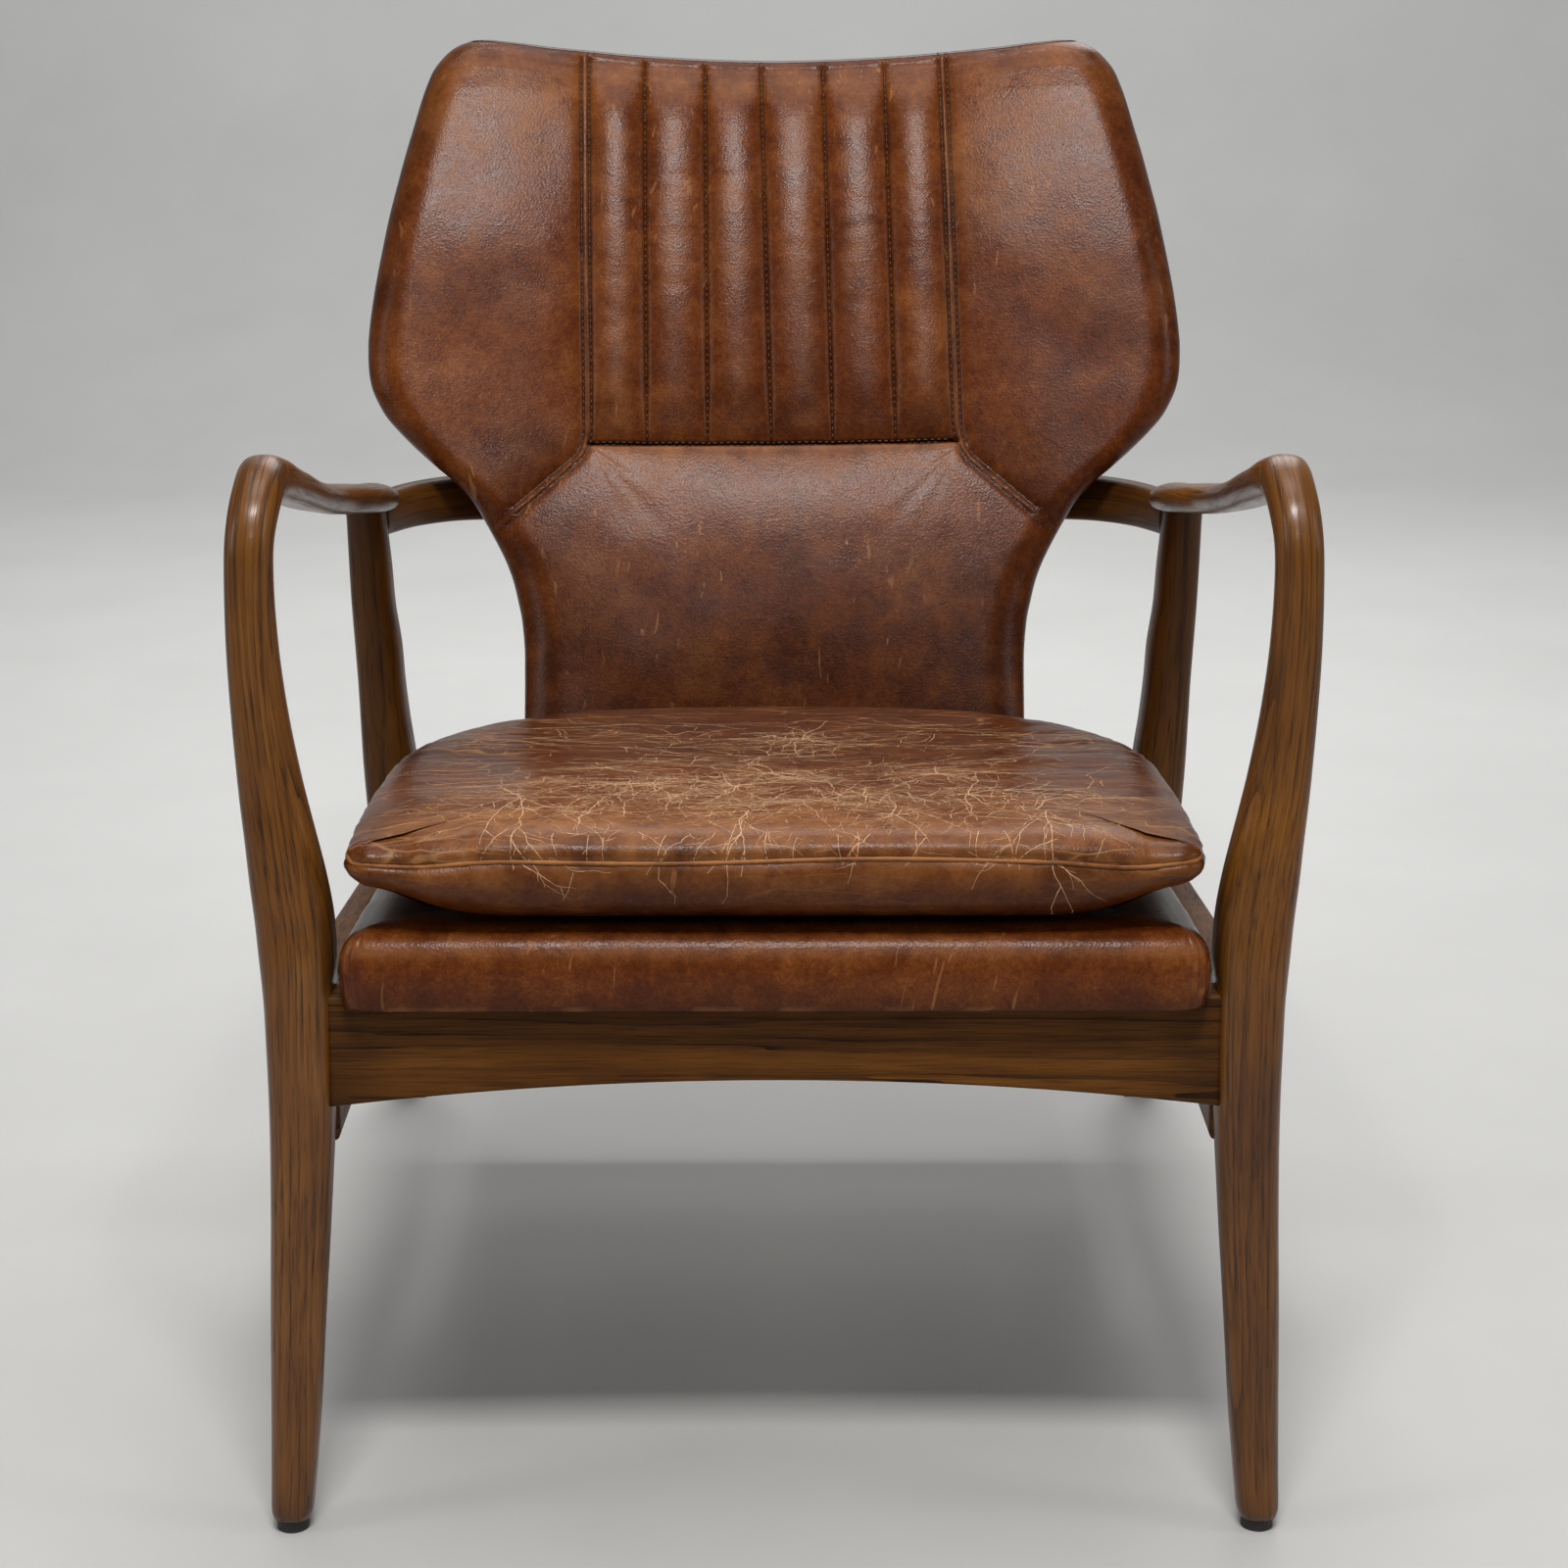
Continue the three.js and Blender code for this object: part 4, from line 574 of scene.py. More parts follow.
SW = 5.6      # width of the folded strip between the two rows of stitches
def back_relief(x, z):
    """Height of the hide over the smooth front face, in mm, and the shading masks."""
    h = np.zeros_like(x); burnish_and_shade = np.zeros_like(x); wear_and_highlight = np.zeros_like(x); ZL = ZLX(x)
    dl, _ = path_dist(x, z, DPL); dr, _ = path_dist(x, z, DPR)
    al, ar = np.abs(dl), np.abs(dr); lim = np.minimum(al, ar)
    xs = [seamx(*DBL_L, z)] + [seamx(a, b, z) for a, b in CH] + [seamx(*DBL_R, z)]
    mid = (x > xs[0]) & (x < xs[-1]) & (z > ZL)
    dch = np.min([np.abs(x - q) for q in xs[1:-1]], 0)
    tz = topx(x)
    # padded channels between the double seams: full half way up, flat at the crest and at the cross seam
    bulge = np.zeros_like(x)
    for i in range(6):
        a, b = xs[i] + (SW / 2 if i == 0 else 0), xs[i + 1] - (SW / 2 if i == 5 else 0)
        u = np.clip((x - a) / (b - a), 0, 1) * 2 - 1
        amp = 4.4 + (0.5, -0.2, 0.3, 0.1, -0.3, 0.4)[i] + 0.5 * n2(0 * x + i * 9.0, z, 1, 1 / 60, 13)
        bulge = np.where(mid & (x >= a) & (x < b), amp * (1 - np.abs(u) ** 2.0) ** 0.85, bulge)
    vf = (0.30 + 0.70 * smooth(ZL, ZL + 46, z)) * (1 - 0.80 * smooth(tz - 46, tz - 8, z))
    cre = np.maximum(0, n2(x + 3 * n2(x, z, 1 / 30, 1 / 30, 14), z, 1 / 30, 1 / 5.5, 11)) ** 1.6 * 0.9 + np.maximum(0, n2(x, z + 0.15 * x, 1 / 22, 1 / 9.0, 12)) ** 1.5 * 0.7
    edge = np.exp(-(dch / 10) ** 2)
    h = h + np.where(mid, bulge * vf + 2.0 + 7.5 * np.maximum(0, 1 - ((z - 695) / 142) ** 2) - cre * (0.42 + 1.0 * edge) * smooth(ZL, ZL + 40, z) * (1 - smooth(tz - 50, tz - 20, z)), 0)
    # one crowned lumbar panel under the cross seam
    inside = (z <= ZL) & (np.abs(x) < np.where(z > 540.5, 146.0 - (z - 540.5) * 0.9, 146 + (540.5 - z) * (61.0 / 48.5)))
    dcross = np.maximum(0, ZL - z)
    hw = hwz(np.minimum(z, 833)); de = hw - np.abs(x)
    ed = np.minimum(np.minimum(dcross, lim), np.maximum(de - 8, 0) * 1.4)
    lh = 2.4 + 2.6 * (1 - np.exp(-ed / 26)) + 11.5 * np.maximum(0, 1 - ((z - 462) / 104) ** 2) * np.maximum(0, 1 - (x / 200) ** 2) + 1.0 * (1 - np.exp(-dcross / 3.0))
    for sg in (-1, 1):   # drag lines fanning out of the upper corners
        px, pz = x - sg * 134, z - 551
        ang = np.degrees(np.arctan2(-pz, -sg * px)); rr = np.hypot(px, pz)
        for a0, w0, l0 in ((28, 7, 60), (47, 5, 80), (64, 6, 50)):
            lh = lh - 0.35 * np.exp(-((ang - a0) / w0) ** 2) * smooth(2, 12, rr) * np.exp(-(rr / l0) ** 2)
    h = h + np.where(inside, lh, 0)
    # wings: a soft pillow that keeps turning all the way to the outline
    outer = ~inside & ~mid
    cz = np.cos(np.clip((z - 700) / 178, -1, 1) * math.pi / 2) ** 2
    wh = 1.6 + 2.4 * (1 - np.exp(-np.maximum(0, lim - SW / 2) / 20)) + 7.5 * np.maximum(cz, 0) + 3.2 * np.maximum(0, 1 - ((np.abs(x) - 205) / 72) ** 2) - 1.6 * np.exp(-(((np.abs(x) - 215) / 40) ** 2 + ((z - 610) / 55) ** 2))
    h = h + np.where(outer, wh, 0)
    h = h + np.where(outer | inside, (1.0 * n2(x, z, 1 / 75, 1 / 60, 4) + 0.45 * n2(x, z, 1 / 30, 1 / 26, 5)) * smooth(0, 30, lim) * smooth(2, 30, de), 0)
    # seams
    h = h - np.where(mid, 1.5 * np.exp(-(dch / 0.9) ** 2) + 0.7 * np.exp(-(dch / 3.2) ** 2), 0)
    for a_ in (al, ar):
        on = z > 490
        strip = np.exp(-(a_ / (SW * 0.46)) ** 4) * 1.0
        rows = 1.3 * np.exp(-((a_ - SW / 2) / 0.85) ** 2) + 0.7 * np.exp(-((a_ - SW / 2) / 3.4) ** 2)
        h = h + np.where(on, strip - rows, 0)
        burnish_and_shade = np.maximum(burnish_and_shade, np.where(on, 0.80 * np.exp(-((a_ - SW / 2) / 1.0) ** 2) + 0.22 * np.exp(-((a_ - SW / 2) / 5) ** 2), 0))
        wear_and_highlight = np.maximum(wear_and_highlight, np.where(on, 0.12 * np.exp(-(a_ / (SW * 0.30)) ** 4), 0))
    w = (x > xs[0] - 1) & (x < xs[-1] + 1); dz = z - ZL
    h = h - np.where(w, 3.4 * np.exp(-((dz - 0.8) / 1.5) ** 2) + 1.2 * np.exp(-((dz - 2) / 6) ** 2) * (dz > 0), 0)
    burnish_and_shade = np.maximum(burnish_and_shade, np.where(w, 0.95 * np.exp(-((dz - 0.9) / 1.4) ** 2) + 0.42 * np.exp(-((dz - 3) / 11) ** 2) * (dz > 0), 0))
    # below the cross seam the lumbar's top roll goes lighter: rubbed wear, and a painted highlight
    wear_and_highlight = np.maximum(wear_and_highlight, np.where(w, 0.26 * np.exp(-((dz + 2.6) / 2.0) ** 2) + 0.22 * np.exp(-((dz + 10) / 9) ** 2), 0))
    burnish_and_shade = np.maximum(burnish_and_shade, np.where(mid, 0.62 * np.exp(-(dch / 1.0) ** 2) + 0.20 * np.exp(-(dch / 6) ** 2), 0))
    # rubbed light bands high on the channels and along the crest
    wear_and_highlight = np.maximum(wear_and_highlight, np.where(mid, 0.20 * smooth(6, 18, dch) * (0.5 + 0.6 * n2(x, z, 1 / 30, 1 / 60, 6)), 0))
    wear_and_highlight = np.maximum(wear_and_highlight, 0.34 * np.exp(-((z - tz + 17) / 11) ** 2) * (0.6 + 0.5 * n2(x, z, 1 / 25, 1 / 12, 16)))
    # painted highlight: lighter patches over the upper wings
    wear_and_highlight = np.maximum(wear_and_highlight, np.where(outer, 0.26 * smooth(600, 760, z) * smooth(-0.3, 0.7, n2(x, z, 1 / 60, 1 / 70, 17)), 0))
    # painted shade: darker towards the outline, over the foot of the wings, at the foot of the channels, and down the
    # lumbar panel and along its edges; the very top of the crest is darkened too
    burnish_and_shade = np.maximum(burnish_and_shade, 0.66 * (1 - smooth(5, 30, de + 6 * n2(x, z, 1 / 40, 1 / 40, 8))) * smooth(505, 560, z))
    burnish_and_shade = np.maximum(burnish_and_shade, np.where(outer, 0.52 * (1 - smooth(520, 640, z + 0.15 * np.abs(x) + 14 * n2(x, z, 1 / 50, 1 / 50, 18))), 0))
    burnish_and_shade = np.maximum(burnish_and_shade, np.where(mid, 0.36 * (1 - smooth(553, 640, z)), 0))
    burnish_and_shade = np.maximum(burnish_and_shade, np.where(inside, 0.60 * (1 - smooth(395, 530, z + 16 * n2(x, z, 1 / 60, 1 / 40, 19))) + 0.30 * (1 - smooth(8, 46, de)), 0))
    burnish_and_shade = np.maximum(burnish_and_shade, 0.55 * smooth(tz - 6, tz - 1, z))
    return h, burnish_and_shade, wear_and_highlight, lim, dch, mid, inside

def stations(z):
    """x positions across the front face at height z, bunched at the seams."""
    hwf = float(hwz(min(z, 833))) - 30.0
    L, Rr = float(seamx(*DBL_L, z)), float(seamx(*DBL_R, z)); xs = [L] + [float(seamx(a, b, z)) for a, b in CH] + [Rr]
    dbl = np.array([-4.6, -3.5, -2.8, -2.1, -1.2, 0, 1.2, 2.1, 2.8, 3.5, 4.6])
    out = list(-hwf + (L - 5.6 + hwf) * np.linspace(0, 1, 40)) + list(L + dbl)
    e = [L + 5.6] + xs[1:-1] + [Rr - 5.6]
    for i in range(6):
        t = (1 - np.cos(np.pi * np.arange(0 if i == 0 else 1, 19) / 18)) / 2
        out += list(e[i] + (e[i + 1] - e[i]) * t)
    out += list(Rr + dbl) + list(Rr + 5.6 + (hwf - Rr - 5.6) * np.linspace(0, 1, 40))
    out = np.array(out); uni = np.linspace(-hwf, hwf, len(out)); w = float(smooth(553, 536, z))
    return out * (1 - w) + uni * w

def build_back():
    NU = 250
    # rows of z, closer where the outline turns, the cross seam lies and the crest rolls over
    zr = np.unique(np.round(np.r_[np.linspace(330.5, 372, 10), np.linspace(372, 484, 34), np.linspace(484, 548, 62), np.linspace(548, 560, 24), np.linspace(560, 700, 48),
                    np.linspace(700, 800, 34), np.linspace(800, 833, 34)], 3))
    R = len(zr)
    # angular stations round the section: front face fine, corners, rear face coarse
    nc, nr = 11, 30
    V = []; A_b = []; A_w = []
    for zn in zr:
        hw = float(hwz(zn))
        # corner rolls in mm: the front one wide, the rear one tight
        rx, ry, qx, qy = 30.0, 24.0, 12.0, 10.0
        fi, ri = 0.0, 0.0
        for tab, nm in (((815, 1.2), (824, 4), (830, 8.5), (833, 14)), "f"), (((815, 1), (824, 3.5), (830, 7.5), (833, 12)), "r"):
            v = float(np.interp(zn, [800] + [t[0] for t in tab], [0] + [t[1] for t in tab]))
            if nm == "f": fi = v
            else: ri = v
        bi = float(np.interp(zn, [330.5, 333, 338, 345], [6, 3, 0.8, 0]))
        fi += bi; ri += bi
        Tc = 44.0 * (1 - 0.16 * min(1, max(0, (zn - 560) / 272))); kf = min(1.0, (Tc - 1.5) / (ry + fi + qy + ri)); ry *= kf; qy *= kf; fi *= kf; ri *= kf
        ring = []
        # front face from -x to +x
        xf = stations(zn)
        def zof(x): return zn + (topx(x) - 833) * max(0.0, (zn - 700) / 133)
        cuts = []
        def pt_front(x, inset): z = zof(x); return np.array([x, float(frontY(x, z)) + inset, z])
        xs = []; kinds = []
        a = np.linspace(math.pi, math.pi / 2, nc + 1)[:-1]
        # left front corner (x from -hw to -(hw-rx))
        for t in a: xs.append((-(hw - rx) + rx * math.cos(t), ry * (1 - math.sin(t)))); kinds.append(0)
        for x in xf: xs.append((x, 0.0)); kinds.append(0)
        for t in a[::-1]: xs.append(((hw - rx) - rx * math.cos(t), ry * (1 - math.sin(t)))); kinds.append(0)
        xs = np.array(xs)
        X = xs[:, 0]; Z = zof(X); Y = frontY(X, Z) + xs[:, 1] + fi
        T = thick(X, Z)
        # rear
        xr = np.linspace(1, -1, nr) * (hw - qx)
        rr = []
        a2 = np.linspace(0, math.pi / 2, 8)
        for t in a2[:-1]: rr.append(((hw - qx) + qx * math.cos(t), qy * (1 - math.sin(t))))
        for x in xr: rr.append((x, 0.0))
        for t in a2[:-1][::-1]: rr.append((-(hw - qx) - qx * math.cos(t), qy * (1 - math.sin(t))))
        rr = np.array(rr); Xr = rr[:, 0]; Zr = zof(Xr); Yr = frontY(Xr, Zr) + thick(Xr, Zr) - rr[:, 1] - ri
        # the rolls never cross
        V.append((np.stack([X, Y, Z], -1), np.stack([Xr, Yr, Zr], -1), xs[:, 1], rr[:, 1], zn))
    F = np.array([v[0] for v in V]); B = np.array([v[1] for v in V])
    cornf = np.array([v[2] for v in V]); ZN = np.array([v[4] for v in V])
    # push the front face by the relief, fading into the rolls
    x, z = F[..., 0], F[..., 2]
    h, burnish_and_shade, wear_and_highlight, lim, dch, mid, inside = back_relief(x, z)
    fade = 1 - smooth(0.0, 20, cornf)
    zrow = np.repeat(ZN[:, None], F.shape[1], 1)
    fade = fade * (1 - smooth(826, 833, zrow)) * smooth(330, 350, zrow)
    # the hide's relief may stand only a little proud of the smooth face, so it starts set back
    hh = (h - 6.5) * fade
    nrm = np.array([0, -1, 0.39]) / math.hypot(1, 0.39)
    F = F + hh[..., None] * nrm
    # shallow wrinkles of stretched hide round the roll
    wv = n2(x, z, 1 / 18, 1 / 12, 21) * 0.5 + n2(x, z, 1 / 45, 1 / 30, 22) * 0.7
    F[..., 1] += wv * (1 - fade) * 0.8 * smooth(345, 380, zrow) * (1 - smooth(822, 830, zrow))
    # painted shade: the hide darkens round the front corner rolls, and the rear run is darkened all over
    burnish_and_shade_front = np.maximum(burnish_and_shade * np.maximum(fade, 0.55), 0.75 * smooth(3, 20, cornf)); wear_and_highlight_front = wear_and_highlight * fade
    allV = np.concatenate([F, B], 1); N = allV.shape[1]
    shade_rear_run = np.full(B.shape[:2], 0.55); wearB = np.zeros(B.shape[:2])
    bu = np.concatenate([burnish_and_shade_front, shade_rear_run], 1); we = np.concatenate([wear_and_highlight_front, wearB], 1)
    verts = allV.reshape(-1, 3); faces = ringfaces(R, N)
    bu = bu.ravel(); we = we.ravel()
    # close the crest and the bottom with strips between front and rear runs
    nF, nB = F.shape[1], B.shape[1]
    def cap(row, rev):
        out = []; i, j = 0, N - 1
        # walk both sides inwards: front index rising, rear index falling
        fi_ = list(range(nF)); ri_ = list(range(N - 1, nF - 1, -1))
        a, b = 0, 0
        while a < len(fi_) - 1 or b < len(ri_) - 1:
            xa = allV[row, fi_[min(a + 1, len(fi_) - 1)], 0]; xb = allV[row, ri_[min(b + 1, len(ri_) - 1)], 0]
            if b >= len(ri_) - 1 or (a < len(fi_) - 1 and xa <= xb):
                out.append((row * N + fi_[a], row * N + fi_[a + 1], row * N + ri_[b])); a += 1
            else:
                out.append((row * N + fi_[a], row * N + ri_[b + 1], row * N + ri_[b])); b += 1
        return [tuple(reversed(f)) for f in out] if rev else out
    faces += cap(0, False) + cap(R - 1, True)
    verts = verts / 1000; verts[:, 1] -= YM
    faces = outward(verts, faces)
    ob = make("back_cover_hide", verts, faces, HIDE, {"burnish_and_shade": bu, "wear_and_highlight": we})
    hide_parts("back_cover", "back_foam")
    return ob, hh
build_back()

def surf_back(x, z):
    """A point on the finished front face, metres."""
    x = np.atleast_1d(np.asarray(x, float)); z = np.atleast_1d(np.asarray(z, float))
    h = back_relief(x, z)[0]; hw = hwz(z)
    c = np.abs(x) - (hw - 30)
    ins = np.where(c > 0, 24 * (1 - np.sqrt(np.clip(1 - (c / 30) ** 2, 0, 1))), 0)
    fade = 1 - smooth(0.0, 20, ins)
    top = topx(x)
    zn = np.where(z > 700, 700 + (z - 700) * 133 / (133 + top - 833), z)
    fi = np.interp(zn, [800, 815, 824, 830, 833], [0, 1.2, 4, 8.5, 14])
    fade = fade * (1 - smooth(826, 833, zn))
    Y = frontY(x, z) + ins + fi
    n = np.array([0, -1, 0.39]) / math.hypot(1, 0.39)
    P = np.stack([x, Y, z], -1) + ((h - 6.5) * fade)[:, None] * n
    P = P / 1000; P[:, 1] -= YM
    return P

# ------------------------------------------------------------------ stitches
def stitches(name, pts, up, pitch, length, r, mat, lift=0.0):
    """Small rounded bars along polylines. pts: list of (n,3) metres arrays; up: list of unit normals."""
    Vs, Fs = [], []; off = 0
    k = 6
    for P, U in zip(pts, up):
        d = np.r_[0, np.cumsum(np.linalg.norm(np.diff(P, axis=0), axis=1))]
        s = np.arange(pitch * 0.5, d[-1], pitch)
        for q in s:
            q = q + (rng.rand() - 0.5) * pitch * 0.06
            A = np.array([np.interp(q - length / 2, d, P[:, i]) for i in range(3)]); B = np.array([np.interp(q + length / 2, d, P[:, i]) for i in range(3)])
            u = np.array([np.interp(q, d, U[:, i]) for i in range(3)]); u /= np.linalg.norm(u)
            t = B - A; L = np.linalg.norm(t)
            if L < 1e-6: continue
            t /= L; side = np.cross(t, u); side /= np.linalg.norm(side); u2 = np.cross(side, t)
            for f, rr, dz in ((0.0, 0.35, -0.9), (0.18, 0.95, -0.1), (0.5, 1.05, 0.22), (0.82, 0.95, -0.1), (1.0, 0.35, -0.9)):
                c = A + t * L * f + u2 * (r * dz + lift)
                for j in range(k):
                    a = 2 * math.pi * j / k; Vs.append(c + (side * math.cos(a) + u2 * math.sin(a)) * r * rr)
            for i in range(4):
                for j in range(k): Fs.append((off + i * k + j, off + i * k + (j + 1) % k, off + (i + 1) * k + (j + 1) % k, off + (i + 1) * k + j))
            Fs.append(tuple(off + j for j in range(k))[::-1]); Fs.append(tuple(off + 4 * k + j for j in range(k)))
            off += 5 * k
    return make(name, np.array(Vs), Fs, mat)

UPB = np.array([0, -1, 0.39]) / math.hypot(1, 0.39)
def offs(P, o):
    d = np.gradient(P, axis=0); L = np.hypot(d[:, 0], d[:, 1]); return P + np.stack([d[:, 1] / L, -d[:, 0] / L], -1) * o
rows = []
for P in (DPL, DPR):
    Q = P[(P[:, 1] < 826)]
    for o in (-SW / 2, SW / 2): q = offs(Q, o); rows.append(surf_back(q[:, 0], q[:, 1]))
for a, b in CH:
    z = np.linspace(ZL0 + 3, 811, 130); rows.append(surf_back(seamx(a, b, z), z))
x = np.linspace(DBL_L[1] + 4, DBL_R[1] - 4, 120); rows.append(surf_back(x, ZLX(x) + 2.2))
stitches("back_stitching", rows, [np.tile(UPB, (len(r), 1)) for r in rows], 0.0049, 0.0033, 0.00058, THREAD, lift=0.0002)

# ------------------------------------------------------------------ tubes (welts, piping)
def tube(name, P, r, mat, closed=False, k=9, attrs=None, squash_=1.0, wob=0.0):
    P = np.asarray(P, float); n = len(P)
    T = np.roll(P, -1, 0) - np.roll(P, 1, 0) if closed else np.gradient(P, axis=0)
    T /= np.linalg.norm(T, axis=1)[:, None]
    up = np.array([0.02, 0.05, 1.0]); V = []
    for i in range(n):
        s = np.cross(T[i], up); s /= np.linalg.norm(s) + 1e-12; u = np.cross(s, T[i])
        for j in range(k):
            a = 2 * math.pi * j / k; rr = r * (1 + wob * math.sin(i * 1.9 + 3 * math.sin(i * 0.13)))
            V.append(P[i] + s * math.cos(a) * rr + u * math.sin(a) * rr * squash_)
    V = np.array(V); F = ringfaces(n, k)
    if closed: F += [((n - 1) * k + j, (n - 1) * k + (j + 1) % k, (j + 1) % k, j) for j in range(k)]
    else: F += [tuple(range(k))[::-1], tuple((n - 1) * k + j for j in range(k))]
    F = outward(V, F)
    at = {q: np.repeat(np.asarray(v, float), k) for q, v in (attrs or {}).items()}
    return make(name, V, F, mat, at)

# ------------------------------------------------------------------ rear panel of the back
def build_rear_panel():
    zs = np.r_[np.linspace(336, 560, 60), np.linspace(563, 812, 64)]
    us = np.linspace(-1, 1, 121)
    U, Z = np.meshgrid(us, zs)
    X = U * (hwz(Z) - 13.5)
    ZZ = Z + (topx(X) - 833) * np.maximum(0, (Z - 700) / 133)
    Yo = frontY(X, ZZ) + thick(X, ZZ)
    e = np.minimum((1 - np.abs(U)) * (hwz(Z) - 13.5), np.minimum(Z - 336, 812 - Z))
    puff = 2.2 * smooth(-1, 9, e) - 0.2
    wr = 0.5 * n2(X, ZZ, 1 / 60, 1 / 45, 31) * smooth(4, 40, e)
    # the upholstery pulled in round each of the two bolts
    for bx in (-92, 92): puff = puff - 1.5 * np.exp(-(np.hypot(X - bx, ZZ - 504) / 16) ** 2)
    outer = np.stack([X, Yo + puff + wr, ZZ], -1); inner = np.stack([X, Yo - 2.2, ZZ], -1)
    R, C = X.shape; n = R * C
    V = np.concatenate([outer.reshape(-1, 3), inner.reshape(-1, 3)]) / 1000; V[:, 1] -= YM
    F = []
    for i in range(R - 1):
        for j in range(C - 1):
            a, b, c, d = i * C + j, i * C + j + 1, (i + 1) * C + j + 1, (i + 1) * C + j
            F.append((a, d, c, b)); F.append((n + a, n + b, n + c, n + d))
    B = [j for j in range(C)] + [i * C + C - 1 for i in range(1, R)] + [(R - 1) * C + j for j in range(C - 2, -1, -1)] + [i * C for i in range(R - 2, 0, -1)]
    for q in range(len(B)):
        a, b = B[q], B[(q + 1) % len(B)]; F.append((a, b, n + b, n + a))
    F = outward(V, F)
    burnish_and_shade = np.concatenate([(0.25 + 0.5 * (1 - smooth(0, 14, e))).ravel(), np.full(n, 0.5)])
    ob = make("back_rear_panel_hide", V, F, HIDE_REAR, {"burnish_and_shade": burnish_and_shade, "wear_and_highlight": np.full(len(V), 0.05)})
    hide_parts("back_rear_panel")
    P = np.array([(outer[i // C, i % C] if True else 0) for i in B])
    P[:, 1] -= 1.0
    c = P.mean(0); P = c + (P - c) * [1.008, 1, 1.006]
    P = P / 1000; P[:, 1] -= YM
    tube("back_rear_welt", P, 0.0021, HIDE_REAR, closed=True, k=8, attrs={"burnish_and_shade": np.full(len(P), 0.35), "wear_and_highlight": np.full(len(P), 0.25)})
build_rear_panel()

# ------------------------------------------------------------------ the loose seat cushion
SL = 0.0943
CP = np.array([[-30, 226], [-26, 235], [10, 239], [110, 242], [210, 243], [262, 239.5], [315, 227], [362, 205], [402, 173], [430, 130], [445, 72], [450, 0]], float)
def outline(table, n, r0=18.0):
    """Closed outline through the half widths, front corners rounded, evenly spaced."""
    y = table[:, 0]; w = table[:, 1]
    t = np.r_[0, np.cumsum(np.hypot(np.diff(y), np.diff(w)))]
    tt = np.linspace(0, t[-1], 600); Y = pchip(t, y, tt); W = pchip(t, w, tt)
    pts = [(x, y[0] - 0.0) for x in np.linspace(-w[0] + 1, w[0] - 1, 240)] + list(zip(W, Y)) + [(-a, b) for a, b in zip(W[::-1], Y[::-1])][1:]
    P = np.array(pts); P = np.vstack([P, P[:1]])
    # smooth the corners
    d = np.r_[0, np.cumsum(np.hypot(*np.diff(P, axis=0).T))]
    q = np.linspace(0, d[-1], 1801)[:-1]
    P = np.stack([np.interp(q, d, P[:, 0]), np.interp(q, d, P[:, 1])], -1)
    k = int(r0 / (d[-1] / 1800)); ker = np.hanning(2 * k + 3)[1:-1]; ker /= ker.sum()
    Q = np.stack([np.convolve(np.r_[P[-k:, i], P[:, i], P[:k, i]], ker, "valid")[:1800] for i in (0, 1)], -1)
    d = np.r_[0, np.cumsum(np.hypot(*np.diff(np.vstack([Q, Q[:1]]), axis=0).T))]
    q = np.linspace(0, d[-1], n + 1)[:-1]; QQ = np.vstack([Q, Q[:1]])
    return np.stack([np.interp(q, d, QQ[:, 0]), np.interp(q, d, QQ[:, 1])], -1), q

NC = 400
CO, CS = outline(CP, NC)
_t = np.roll(CO, -1, 0) - np.roll(CO, 1, 0); _t /= np.hypot(_t[:, 0], _t[:, 1])[:, None]
CN = np.stack([_t[:, 1], -_t[:, 0]], -1)
if ((CO + CN - CO.mean(0)) ** 2).sum() < ((CO - CO.mean(0)) ** 2).sum(): CN = -CN
CC = np.array([0.0, 190.0])

def puck(s, seed, wl):
    q = np.stack([s / wl, np.full_like(s, seed * 3.7), np.full_like(s, seed)], -1)
    return vnoise(q) * 2 - 1

